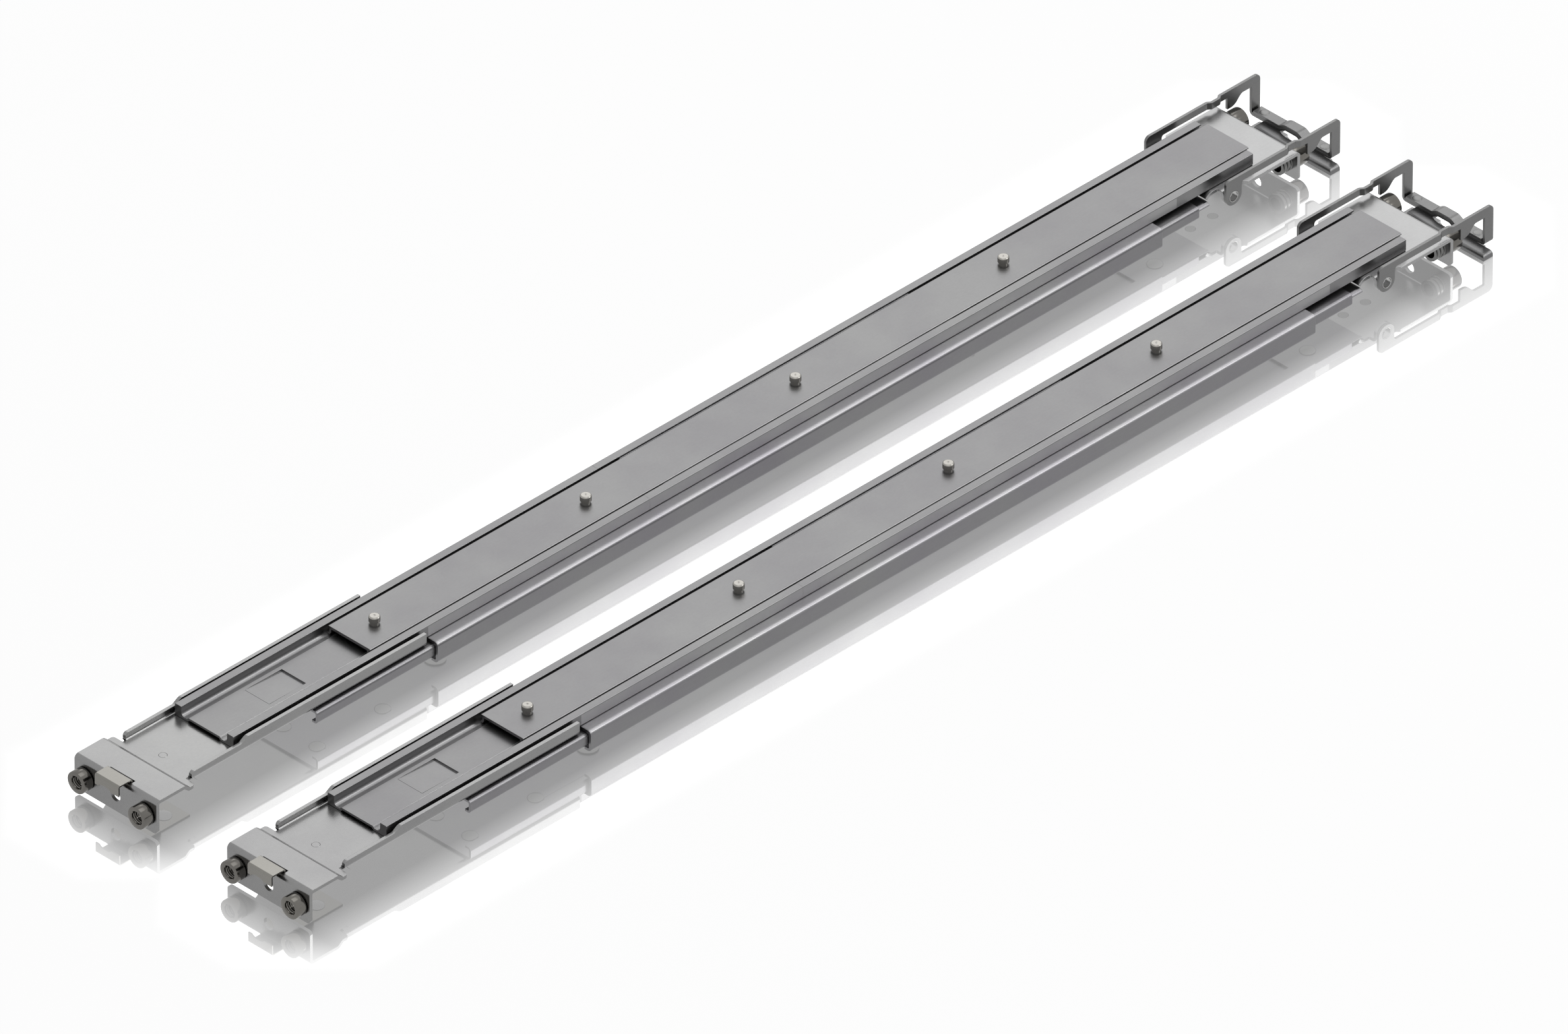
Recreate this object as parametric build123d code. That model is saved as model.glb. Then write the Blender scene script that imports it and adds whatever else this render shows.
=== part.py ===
from build123d import *
import os
from math import cos, radians, sin, tan

# A pair of telescopic slide rails for a server in a rack, lying flat as on a bench.
# Each rail is drawn in its own frame first: X runs from the rear mounting face to the front one,
# Y is across the rail with 0 on its centre line, Z is up from the floor. All sizes are millimetres.

# What the rack gives: hole spacing on a post, and the depth between the posts as shown
POST_PITCH = 31.75
MOUNTING_SPAN = 600.4
RAIL_SPACING = 80.3

# Clearances
STACK_GAP = 0.1
SLIDING_GAP = 0.2
FASTENER_GAP = 0.02
PIVOT_GAP = 0.05
RACE_GAP = 0.05
CAGE_GAP = 0.2

# Brackets: sheet, heights and the plates that meet the rack posts
BRACKET_SHEET = 1.5
BRACKET_BEND = 0.5
BASE_TOP = 14.7
BRACKET_HALF = 21.65
END_PLATE_DROP = 12.9
END_PLATE_CORNER = 1.5
CENTRE_HOLE_D = 5.0
HOLE_DROP = 6.0

# Rear bracket
SHELF_RISE = 1.8
SHELF_LENGTH = 15.0
JOGGLE_RUN = 2.2
EAR_LENGTH = 20.0
EAR_CORNER = 1.3
NECK_HALF = 16.6
FLANGE_START = 21.5
FLANGE_HALF = 18.2
FLANGE_BEND = 0.9
LOW_FLANGE_RISE = 2.7
TALL_FLANGE_START = 47.0
TALL_FLANGE_RISE = 4.6
FLANGE_RAMP = 3.2
REAR_BRACKET_END = 143.0
REAR_BRACKET_OVERLAP = 58.0

# Guide posts
GUIDE_POST_D = 9.3
GUIDE_POST_BORE = 5.4
GUIDE_POST_CHAMFER = 0.35
REAR_POST_LENGTH = 4.8
FRONT_POST_LENGTH = 6.2
POST_GROOVE = 0.35
POST_SHANK_D = 7.2
TAIL_D = 8.0
TAIL_LENGTH = 5.6
TAIL_RIBS = 3
TAIL_RIB_LAND = 1.0
TAIL_RIB_DEPTH = 0.7

# Hook clip over the rear plate, bent from spring sheet
CLIP_SHEET = 0.6
CLIP_BEND = 0.35
CLIP_WIDTH = 12.6
CLIP_REACH = 4.45
CLIP_RISE = 1.4
CLIP_HANG = 4.7
CLIP_ARCH = 1.1
CLIP_ARCH_HALF = 3.15
CLIP_ARCH_Y = 1.25
CLIP_BACK = 2.8
CLIP_ROOT = 17.0
CLIP_ROOT_LENGTH = 15.0
CLIP_SWING = 1.2
CLIP_RIVET_D = 3.2

# Rear extension channel, riveted under the rear bracket
EXTENSION_SHEET = 1.0
EXTENSION_BEND = 0.5
EXTENSION_HALF = 19.5
EXTENSION_HEIGHT = 5.5
EXTENSION_LIP = 3.0
EXTENSION_PROUD = 21.1
EXTENSION_TRAVEL = 280.0
GUIDE_RIVET_FROM_END = 19.0
GUIDE_RIVET_D = 4.6
GUIDE_NECK_D = 3.6
GUIDE_HEAD_D = 8.5
GUIDE_HEAD = 1.0

# Stop plate nested in the front end of the extension channel
STOP_SHEET = 1.0
STOP_BEND = 1.4
STOP_OVERLAP = 26.0
STOP_REACH = 6.9
STOP_CLEAR = 3.3
STOP_JOGGLE = 3.0
STOP_DROP = 0.75
STOP_HEIGHT = 2.05
STOP_RIVET_Y = 9.0

# Support channel, which the extension slides in
SUPPORT_SHEET = 1.3
SUPPORT_BEND = 0.5
SUPPORT_HEIGHT = 9.2
SUPPORT_LIP = 3.6
SUPPORT_SETBACK = 3.0

# Outer slide member
SLIDE_START = 45.7
SLIDE_SETBACK = 19.1
SLIDE_HALF = 15.4
SLIDE_HEIGHT = 5.1
SLIDE_WALL = 3.35
SLIDE_FLOOR = 0.95
SLIDE_EDGE = 0.35
WEB_HALF = 8.2
WEB_RISE = 0.8
STOP_RAMP_START = 73.0
STOP_RAMP_LENGTH = 19.0
STOP_RAMP_WIDTH = 12.8
STOP_RAMP_DEPTH = 0.7

# Inner slide member with its mounting studs
INNER_LENGTH = 462.6
INNER_PROUD = 1.9
INNER_HALF = 11.2
INNER_SHEET = 1.2
INNER_EDGE = 0.25
INNER_TOP_DROP = 0.1
INNER_HEIGHT = 3.7
INNER_RACE_WALL = 0.95
INNER_TRAVEL = 300.0
STUD_COUNT = 4
STUD_FIRST = 13.2
STUD_PITCH = 110.0
STUD_D = 4.5
STUD_HEIGHT = 3.35
STUD_NECK_D = 3.6
STUD_NECK = 0.9
STUD_TAIL_D = 3.0
STUD_TAIL_HEAD_D = 4.6
STUD_TAIL_HEAD = 0.5
STUD_CHAMFER = 0.5

# Balls and their cages
BALL_D = 2.4
BALL_PITCH = 12.7
BALLS_PER_SIDE = 12
CAGE_LEAD = 2.4
CAGE_MARGIN = 6.2
CAGE_HEIGHT = 2.7

# Rivets
RIVET_D = 4.0
RIVET_HEAD_D = 6.4
RIVET_HEAD = 0.9
REAR_RIVET_MARGIN = 10.0
REAR_RIVET_SPACING = 34.0
REAR_RIVET_Y = 9.0
SLIDE_RIVET_COUNT = 4
SLIDE_RIVET_MARGIN = 40.0
FRONT_RIVET_OFFSET = 5.0
FRONT_RIVET_SPACING = 12.0

# Front bracket
FRONT_TONGUE = 41.7
FRONT_TONGUE_HALF = 16.9
FRONT_CURL = 4.5
FRONT_CURL_ANGLE = 45.0
FRONT_CURL_TIP = 0.05
FRONT_NOTCH = 0.8
LUG_FROM_FACE = 39.8
LUG_WIDTH = 8.4
LUG_DROP = 7.0
LUG_CORNER = 4.0
FRONT_EAR = 30.2
FRONT_EAR_CHAMFER = 2.0

# Latch that hooks over the free edge of the front rack post
LATCH_SHEET = 1.2
LATCH_HALF = 21.7
LATCH_TOP_RISE = 4.8
LATCH_BAR = 3.0
LATCH_BEND = 0.6
LATCH_CORNER = 2.4
PIVOT_DROP = 3.3
PIVOT_D = 4.7
PIVOT_BORE = 3.8
HOOK_GAP = 3.8
HOOK_DROP = 5.2
HOOK_WIDTH = 8.0
HOOK_BACK = ((2.0, 0.0), (5.0, 1.35), (7.0, 3.4))
WINDOW_RISE = 1.2
END_BAR = 4.6
LATCH_REACH = 21.4
DIMPLE_FROM_FACE = 6.8
DIMPLE_LENGTH = 6.6
DIMPLE_DEPTH = 1.1
DIMPLE_SLOPE = 1.5
DIMPLE_BEND = 0.3
STRIP_SHEET = 1.2
STRIP_ARCH = 1.5
STRIP_ARCH_HALF = 5.6
STRIP_ARCH_TOP = 3.0
STRIP_BEND = 2.0
LATCH_RIVET_Y = 15.9
LATCH_RIVET_D = 2.6
LATCH_RIVET_HEAD_D = 3.9
LATCH_RIVET_HEAD = 0.25
PULL_SHEET = 1.2
PULL_BEND = 1.6
PULL_DEPTH = 5.2
PULL_OUTSIDE = 26.1
PULL_INSIDE = 14.7
PULL_NOTCH = 1.3

# Heights that follow
BASE_BOTTOM = BASE_TOP - BRACKET_SHEET
SHELF_TOP = BASE_TOP + SHELF_RISE
SLIDE_BOTTOM = BASE_TOP + STACK_GAP
SLIDE_TOP = SLIDE_BOTTOM + SLIDE_HEIGHT
TROUGH_TOP = SLIDE_BOTTOM + SLIDE_FLOOR
WEB_TOP = TROUGH_TOP + WEB_RISE
INNER_TOP = SLIDE_TOP - INNER_TOP_DROP
POST_AXIS = BASE_TOP - HOLE_DROP
LATCH_TOP = BASE_TOP + LATCH_TOP_RISE
BAR_BOTTOM = LATCH_TOP - LATCH_BAR
PIVOT_Z = BASE_TOP - PIVOT_DROP
LATCH_BOTTOM = PULL_SHEET * 2
CLIP_TOP = SHELF_TOP + CLIP_RISE

EXTENSION_UNDER = BASE_BOTTOM - EXTENSION_SHEET

# Places along and across the rail that follow
SUPPORT_HALF = EXTENSION_HALF + SLIDING_GAP + SUPPORT_SHEET
TONGUE_START = MOUNTING_SPAN - FRONT_TONGUE
EXTENSION_START = REAR_BRACKET_END - REAR_BRACKET_OVERLAP
EXTENSION_END = TONGUE_START - STOP_CLEAR - STOP_REACH
EXTENSION_LENGTH = EXTENSION_END - EXTENSION_START
SUPPORT_START = REAR_BRACKET_END + SUPPORT_SETBACK
SUPPORT_LENGTH = EXTENSION_END - EXTENSION_PROUD - SUPPORT_START
SLIDE_END = MOUNTING_SPAN - SLIDE_SETBACK
SLIDE_LENGTH = SLIDE_END - SLIDE_START
INNER_START = SLIDE_END + INNER_PROUD - INNER_LENGTH
CAGE_START = INNER_START + INNER_TRAVEL / 2 + CAGE_LEAD
LUG_START = MOUNTING_SPAN - LUG_FROM_FACE
LUG_CENTRE = LUG_START + LUG_WIDTH / 2
FRONT_LUG_HALF = LATCH_HALF - LATCH_SHEET - STACK_GAP
EAR_START = MOUNTING_SPAN - FRONT_EAR
LATCH_FRONT = MOUNTING_SPAN + LATCH_REACH
NECK_END = FLANGE_START + FLANGE_BEND + BRACKET_SHEET
END_BAR_START = LATCH_FRONT - END_BAR
RACE_Y = (INNER_HALF + SLIDE_HALF - SLIDE_WALL) / 2
RACE_Z = INNER_TOP - INNER_HEIGHT / 2
RACE_RADIUS = BALL_D / 2 + RACE_GAP
LATCH_RIVET_X = END_BAR_START + END_BAR / 2
GUIDE_RIVET_X = SUPPORT_START + GUIDE_RIVET_FROM_END

# Cutting blocks: far taller than the rail, and how far a cutter runs past a face
TALL = 5 * LATCH_TOP
PAST = BRACKET_SHEET


def across(face, half):
    """A face drawn in X and Z, made solid to both sides of the centre line."""
    return Pos(0, half, 0) * extrude(Plane.XZ * face, 2 * half)


def along(face, start, length):
    """A face drawn in Y and Z, made solid along the rail."""
    return Pos(start, 0, 0) * extrude(Plane.YZ * face, length)


def upright(face, bottom, height):
    """A face drawn in X and Y, made solid upwards."""
    return Pos(0, 0, bottom) * extrude(face, height)


def runs_and_normals(points, side):
    """The directions of the runs between points, and the directions square to them on one side."""
    sign = 1 if side == Side.RIGHT else -1
    runs = [(Vector(*b) - Vector(*a)).normalized() for a, b in zip(points, points[1:])]
    return runs, [Vector(run.Y, -run.X) * sign for run in runs]


def mitred(points, sheet, side):
    """The points of a path's parallel path, one sheet to its side."""
    normals = runs_and_normals(points, side)[1]
    moved = [Vector(*points[0]) + normals[0] * sheet]
    for i, point in enumerate(points[1:-1]):
        mitre = (normals[i] + normals[i + 1]) * (sheet / (1 + normals[i].dot(normals[i + 1])))
        moved.append(Vector(*point) + mitre)
    moved.append(Vector(*points[-1]) + normals[-1] * sheet)
    return [(point.X, point.Y) for point in moved]


def bent_sheet(points, bends, sheet, side=Side.RIGHT):
    """The edge view of a bent sheet: one face follows the points, and bends are inside radii."""
    runs, normals = runs_and_normals(points, side)
    bends = bends if isinstance(bends, list) else [bends] * (len(points) - 2)
    near_radii = []
    for i, bend in enumerate(bends):
        folds_to_sheet = runs[i + 1].dot(normals[i]) > 0
        near_radii.append(bend + sheet if folds_to_sheet else bend)
    far_radii = [2 * bend + sheet - radius for bend, radius in zip(bends, near_radii)]
    far = mitred(points, sheet, side)
    faces = FilletPolyline(*points, radius=near_radii) + FilletPolyline(*far, radius=far_radii)
    return make_face(faces + Line(points[0], far[0]) + Line(points[-1], far[-1]))


def outline(*points):
    """A face inside straight runs between points."""
    return make_face(Polyline(*points, close=True))


def round_corners(face, radius, *corners):
    """The same face with the corners nearest to the points made round."""
    chosen = [min(face.vertices(), key=lambda v: (v.center() - Vector(*c)).length) for c in corners]
    return fillet(chosen, radius)


def mirrored(shape):
    """A shape and its mirror image across the rail."""
    return [shape, mirror(shape, Plane.XZ)]


def rod_x(diameter, start, length, y, z):
    """A cylinder along the rail."""
    return Pos(start + length / 2, y, z) * Rot(0, 90, 0) * Cylinder(diameter / 2, length)


def rod_y(diameter, start, length, x, z):
    """A cylinder across the rail."""
    return Pos(x, start + length / 2, z) * Rot(90, 0, 0) * Cylinder(diameter / 2, length)


def rod_z(diameter, bottom, length, x, y):
    """An upright cylinder."""
    return Pos(x, y, bottom + length / 2) * Cylinder(diameter / 2, length)


def rivet(x, y, bottom, grip, head_up, shank=RIVET_D, head=RIVET_HEAD_D, rise=RIVET_HEAD):
    """A set rivet: a shank flush at one end and a domed head at the other."""
    side = 1 if head_up else -1
    seat = bottom + grip if head_up else bottom
    profile = outline((0, -side * grip), (shank / 2, -side * grip), (shank / 2, 0), (head / 2, 0),
                      (head / 2, side * rise / 3), (head / 3, side * rise), (0, side * rise))
    return Pos(x, y, seat) * revolve(Plane.XZ * profile, Axis.Z)


def rear_rivet_places():
    """Where the rear bracket is riveted to the extension channel."""
    first = EXTENSION_START + REAR_RIVET_MARGIN
    return [(first + i * REAR_RIVET_SPACING, y) for i in range(2) for y in (-REAR_RIVET_Y, REAR_RIVET_Y)]


def stop_rivet_places():
    """Where the stop plate is riveted under the extension channel."""
    x = EXTENSION_END - STOP_OVERLAP / 2
    return [(x, -STOP_RIVET_Y), (x, STOP_RIVET_Y)]


def slide_rivet_places():
    """Where the support channel is riveted to the outer slide member."""
    step = (SUPPORT_LENGTH - 2 * SLIDE_RIVET_MARGIN) / (SLIDE_RIVET_COUNT - 1)
    first = SUPPORT_START + SLIDE_RIVET_MARGIN
    return [(first + i * step, 0) for i in range(SLIDE_RIVET_COUNT)]


def front_rivet_places():
    """Where the front bracket is riveted to the outer slide member."""
    first = TONGUE_START + FRONT_RIVET_OFFSET
    return [(first + i * FRONT_RIVET_SPACING, 0) for i in range(2)]


def stud_places():
    """Where the studs that carry the server stand on the inner member."""
    return [(INNER_START + STUD_FIRST + i * STUD_PITCH, 0) for i in range(STUD_COUNT)]


def end_plate_holes(start, length):
    """The cutters for the two post holes and the centre hole of an end plate."""
    posts = [rod_x(POST_SHANK_D + 2 * FASTENER_GAP, start, length, side * POST_PITCH / 2, POST_AXIS)
             for side in (-1, 1)]
    return posts + [rod_x(CENTRE_HOLE_D, start, length, 0, POST_AXIS)]


def end_plate_front():
    """An end plate seen along the rail, its two lower corners round."""
    bottom = BASE_TOP - END_PLATE_DROP
    face = Pos(0, bottom + TALL / 2) * Rectangle(2 * BRACKET_HALF, TALL)
    return round_corners(face, END_PLATE_CORNER, (-BRACKET_HALF, bottom), (BRACKET_HALF, bottom))


def rear_bracket():
    """End plate, raised shelf, joggle and a base with two upturned flanges, all one sheet."""
    plate_bottom = BASE_TOP - END_PLATE_DROP
    points = [(0, plate_bottom), (0, SHELF_TOP), (SHELF_LENGTH, SHELF_TOP),
              (SHELF_LENGTH + JOGGLE_RUN, BASE_TOP), (NECK_END, BASE_TOP)]
    plate = across(bent_sheet(points, BRACKET_BEND, BRACKET_SHEET), BRACKET_HALF)
    plan = outline((-PAST, -BRACKET_HALF), (EAR_LENGTH, -BRACKET_HALF), (EAR_LENGTH, -NECK_HALF),
                   (NECK_END, -NECK_HALF), (NECK_END, NECK_HALF),
                   (EAR_LENGTH, NECK_HALF), (EAR_LENGTH, BRACKET_HALF), (-PAST, BRACKET_HALF))
    plan = round_corners(plan, EAR_CORNER, (EAR_LENGTH, -BRACKET_HALF), (EAR_LENGTH, BRACKET_HALF))
    plate = plate & upright(plan, 0, TALL) & along(end_plate_front(), -PAST, TALL)

    top = BASE_TOP + TALL_FLANGE_RISE
    low = BASE_TOP + LOW_FLANGE_RISE
    u_points = [(-FLANGE_HALF, top), (-FLANGE_HALF, BASE_BOTTOM), (FLANGE_HALF, BASE_BOTTOM),
                (FLANGE_HALF, top)]
    channel = along(bent_sheet(u_points, FLANGE_BEND, BRACKET_SHEET, Side.LEFT), FLANGE_START,
                    REAR_BRACKET_END - FLANGE_START)
    side_view = outline((FLANGE_START, 0), (FLANGE_START, low), (TALL_FLANGE_START, low),
                        (TALL_FLANGE_START + FLANGE_RAMP, top), (REAR_BRACKET_END, top),
                        (REAR_BRACKET_END, 0))
    side_view = round_corners(side_view, BRACKET_SHEET, (FLANGE_START, low))
    side_view = round_corners(side_view, FLANGE_RAMP, (TALL_FLANGE_START + FLANGE_RAMP, top))
    channel = channel & across(side_view, TALL)

    bracket = plate + channel
    for cutter in end_plate_holes(-PAST, BRACKET_SHEET + 2 * PAST):
        bracket -= cutter
    window_start = BRACKET_BEND + BRACKET_SHEET
    window_end = CLIP_BACK + CLIP_SWING
    bracket -= Pos((window_start + window_end) / 2, 0, SHELF_TOP) * Box(
        window_end - window_start, CLIP_WIDTH + 2 * SLIDING_GAP, 2 * SHELF_RISE)
    for x, y in rear_rivet_places():
        bracket -= rod_z(RIVET_D + 2 * FASTENER_GAP, 0, TALL, x, y)
    return bracket - clip_rivet_hole()


def clip_rivet_hole():
    """The cutter for the rivet that holds the hook clip's root."""
    return rod_z(CLIP_RIVET_D + 2 * FASTENER_GAP, 0, TALL, CLIP_ROOT + CLIP_ROOT_LENGTH / 2, 0)


def extension_channel():
    """The rear channel that slides inside the support channel, slotted for the guide rivet."""
    bottom = BASE_BOTTOM - EXTENSION_HEIGHT
    inner_lip = EXTENSION_HALF - EXTENSION_LIP
    points = [(-inner_lip, bottom), (-EXTENSION_HALF, bottom), (-EXTENSION_HALF, BASE_BOTTOM),
              (EXTENSION_HALF, BASE_BOTTOM), (EXTENSION_HALF, bottom), (inner_lip, bottom)]
    channel = along(bent_sheet(points, EXTENSION_BEND, EXTENSION_SHEET), EXTENSION_START,
                    EXTENSION_LENGTH)
    for x, y in rear_rivet_places() + stop_rivet_places():
        channel -= rod_z(RIVET_D + 2 * FASTENER_GAP, 0, TALL, x, y)
    slot = Pos(GUIDE_RIVET_X + EXTENSION_TRAVEL / 2, 0) * SlotCenterToCenter(
        EXTENSION_TRAVEL, GUIDE_RIVET_D + 2 * SLIDING_GAP)
    return channel - upright(slot, 0, TALL)


def stop_section(top):
    """The edge view of the stop plate along the rail."""
    half = EXTENSION_HALF - EXTENSION_SHEET - PIVOT_GAP
    bottom = top - STOP_BEND - STOP_SHEET - STOP_HEIGHT
    return bent_sheet([(-half, bottom), (-half, top), (half, top), (half, bottom)], STOP_BEND, STOP_SHEET)


def extension_stop():
    """The plate that ends the extension, stepped down to pass under the front bracket's curl."""
    low = EXTENSION_UNDER - STOP_DROP
    start = EXTENSION_END - STOP_OVERLAP
    step_end = EXTENSION_END + STOP_JOGGLE / 2
    plate = along(stop_section(EXTENSION_UNDER), start, STOP_OVERLAP - STOP_JOGGLE / 2)
    plate += loft([Pos(step_end - STOP_JOGGLE, 0, 0) * (Plane.YZ * stop_section(EXTENSION_UNDER)),
                   Pos(step_end, 0, 0) * (Plane.YZ * stop_section(low))], ruled=True)
    plate += along(stop_section(low), step_end, STOP_REACH - STOP_JOGGLE / 2)
    for x, y in stop_rivet_places():
        plate -= rod_z(RIVET_D + 2 * FASTENER_GAP, 0, TALL, x, y)
    keep = Pos(EXTENSION_END, 0, EXTENSION_UNDER - STOP_HEIGHT + TALL / 2) * Box(TALL, TALL, TALL)
    return plate & keep


def support_channel():
    """The fixed lower channel that carries the slide and guides the extension."""
    bottom = BASE_TOP - SUPPORT_HEIGHT
    inner_lip = SUPPORT_HALF - SUPPORT_LIP
    points = [(-inner_lip, bottom), (-SUPPORT_HALF, bottom), (-SUPPORT_HALF, BASE_TOP),
              (SUPPORT_HALF, BASE_TOP), (SUPPORT_HALF, bottom), (inner_lip, bottom)]
    channel = along(bent_sheet(points, SUPPORT_BEND, SUPPORT_SHEET), SUPPORT_START, SUPPORT_LENGTH)
    for x, y in slide_rivet_places():
        channel -= rod_z(RIVET_D + 2 * FASTENER_GAP, 0, TALL, x, y)
    return channel - rod_z(GUIDE_NECK_D + 2 * FASTENER_GAP, 0, TALL, GUIDE_RIVET_X, 0)


def guide_rivet():
    """The shoulder rivet that keeps the extension in the support channel and ends its travel."""
    neck = GUIDE_NECK_D / 2
    shoulder = BASE_TOP - SUPPORT_SHEET
    seat = EXTENSION_UNDER - STACK_GAP
    profile = outline((0, BASE_TOP), (neck, BASE_TOP), (neck, shoulder), (GUIDE_RIVET_D / 2, shoulder),
                      (GUIDE_RIVET_D / 2, seat), (GUIDE_HEAD_D / 2, seat),
                      (GUIDE_HEAD_D / 2, seat - GUIDE_HEAD / 2), (GUIDE_HEAD_D / 3, seat - GUIDE_HEAD),
                      (0, seat - GUIDE_HEAD))
    return Pos(GUIDE_RIVET_X, 0, 0) * revolve(Plane.XZ * profile, Axis.Z)


def slide_outer():
    """Outer slide member: thick rolled walls with a ball race each, a thin floor and a raised web."""
    inside = SLIDE_HALF - SLIDE_WALL
    web_slope = WEB_RISE
    half = [(0, SLIDE_BOTTOM + WEB_RISE), (WEB_HALF - SLIDE_FLOOR / 2, SLIDE_BOTTOM + WEB_RISE),
            (WEB_HALF - SLIDE_FLOOR / 2 + web_slope, SLIDE_BOTTOM), (SLIDE_HALF, SLIDE_BOTTOM),
            (SLIDE_HALF, SLIDE_TOP), (inside, SLIDE_TOP), (inside, TROUGH_TOP),
            (WEB_HALF + web_slope, TROUGH_TOP), (WEB_HALF, WEB_TOP), (0, WEB_TOP)]
    profile = outline(*half) + mirror(outline(*half), Plane.YZ)
    profile = round_corners(profile, SLIDE_EDGE, (-SLIDE_HALF, SLIDE_TOP), (SLIDE_HALF, SLIDE_TOP))
    for side in (-1, 1):
        profile -= Pos(side * RACE_Y, RACE_Z) * Circle(RACE_RADIUS)
    member = along(profile, SLIDE_START, SLIDE_LENGTH)
    ramp = outline((STOP_RAMP_START, WEB_TOP), (STOP_RAMP_START + STOP_RAMP_LENGTH, WEB_TOP),
                   (STOP_RAMP_START + STOP_RAMP_LENGTH, WEB_TOP - STOP_RAMP_DEPTH))
    member -= across(ramp, STOP_RAMP_WIDTH / 2)
    for x, y in slide_rivet_places() + front_rivet_places():
        member -= rod_z(RIVET_D + 2 * FASTENER_GAP, 0, TALL, x, y)
    return member


def inner_member():
    """Inner slide member: a shallow channel, open below, with a rolled ball race in each wall."""
    bottom = INNER_TOP - INNER_HEIGHT
    points = [(-INNER_HALF, bottom), (-INNER_HALF, INNER_TOP), (INNER_HALF, INNER_TOP),
              (INNER_HALF, bottom)]
    profile = bent_sheet(points, INNER_EDGE, INNER_SHEET)
    room = Pos(0, INNER_TOP - INNER_HEIGHT / 2) * Rectangle(2 * INNER_HALF, INNER_HEIGHT)
    for side in (-1, 1):
        profile += Pos(side * RACE_Y, RACE_Z) * Circle(RACE_RADIUS + INNER_RACE_WALL) & room
    for side in (-1, 1):
        profile -= Pos(side * RACE_Y, RACE_Z) * Circle(RACE_RADIUS)
    member = along(profile, INNER_START, INNER_LENGTH)
    for x, y in stud_places():
        member -= rod_z(STUD_TAIL_D + 2 * FASTENER_GAP, 0, TALL, x, y)
    return member


def mounting_studs():
    """Shoulder studs that the server's side slots drop onto."""
    half = STUD_D / 2
    profile = outline(
        (0, -INNER_SHEET - STUD_TAIL_HEAD), (STUD_TAIL_HEAD_D / 2, -INNER_SHEET - STUD_TAIL_HEAD),
        (STUD_TAIL_HEAD_D / 2, -INNER_SHEET), (STUD_TAIL_D / 2, -INNER_SHEET), (STUD_TAIL_D / 2, 0),
        (STUD_NECK_D / 2, 0), (STUD_NECK_D / 2, STUD_NECK), (half, STUD_NECK),
        (half, STUD_HEIGHT - STUD_CHAMFER), (half - STUD_CHAMFER, STUD_HEIGHT), (0, STUD_HEIGHT))
    stud = revolve(Plane.XZ * profile, Axis.Z)
    return [Pos(x, y, INNER_TOP) * stud for x, y in stud_places()]


def ball_places():
    """Ball centres along one side at rest."""
    return [CAGE_START + CAGE_MARGIN + i * BALL_PITCH for i in range(BALLS_PER_SIDE)]


def cage_strips():
    """The two strips that keep the balls apart."""
    length = 2 * CAGE_MARGIN + (BALLS_PER_SIDE - 1) * BALL_PITCH
    thickness = SLIDE_HALF - SLIDE_WALL - INNER_HALF - 2 * CAGE_GAP
    strip = Pos(CAGE_START + length / 2, RACE_Y, RACE_Z) * Box(length, thickness, CAGE_HEIGHT)
    for x in ball_places():
        strip -= rod_y(BALL_D + 2 * RACE_GAP, RACE_Y - thickness, 2 * thickness, x, RACE_Z)
    return mirrored(strip)


def balls():
    """The balls that carry the inner member."""
    ball = Sphere(BALL_D / 2)
    return [Pos(x, side * RACE_Y, RACE_Z) * ball for side in (-1, 1) for x in ball_places()]


def guide_post(length):
    """One threaded guide post, its outer end at +X and its seat against the plate at X 0."""
    profile = outline(
        (-BRACKET_SHEET, 0), (-BRACKET_SHEET, POST_SHANK_D / 2),
        (POST_GROOVE, POST_SHANK_D / 2), (POST_GROOVE, GUIDE_POST_D / 2),
        (length - GUIDE_POST_CHAMFER, GUIDE_POST_D / 2),
        (length, GUIDE_POST_D / 2 - GUIDE_POST_CHAMFER), (length, 0))
    post = revolve(profile, Axis.X)
    return post - rod_x(GUIDE_POST_BORE, -BRACKET_SHEET - PAST, length + BRACKET_SHEET + 2 * PAST, 0, 0)


def post_tail():
    """A ribbed lock ring behind the plate, its plate face at X 0 and its end at -X."""
    pitch = TAIL_LENGTH / TAIL_RIBS
    points = [(0, 0), (0, TAIL_D / 2)]
    for i in range(TAIL_RIBS):
        land_end = -i * pitch - TAIL_RIB_LAND
        rib_end = -(i + 1) * pitch
        points += [(land_end, TAIL_D / 2), ((land_end + rib_end) / 2, TAIL_D / 2 - TAIL_RIB_DEPTH),
                   (rib_end, TAIL_D / 2)]
    points += [(-TAIL_LENGTH, 0)]
    tail = revolve(outline(*points), Axis.X)
    return tail - rod_x(GUIDE_POST_BORE, -TAIL_LENGTH - PAST, TAIL_LENGTH + 2 * PAST, 0, 0)


def rear_posts():
    """The two guide posts of the rear plate, pointing to -X."""
    post = Rot(0, 0, 180) * guide_post(REAR_POST_LENGTH)
    return [Pos(0, side * POST_PITCH / 2, POST_AXIS) * post for side in (-1, 1)]


def front_posts():
    """The two guide posts of the front plate, pointing to +X."""
    post = guide_post(FRONT_POST_LENGTH)
    return [Pos(MOUNTING_SPAN, side * POST_PITCH / 2, POST_AXIS) * post for side in (-1, 1)]


def front_lock_rings():
    """Lock rings behind the front plate."""
    ring = post_tail()
    start = MOUNTING_SPAN - BRACKET_SHEET
    return [Pos(start, side * POST_PITCH / 2, POST_AXIS) * ring for side in (-1, 1)]


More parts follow.
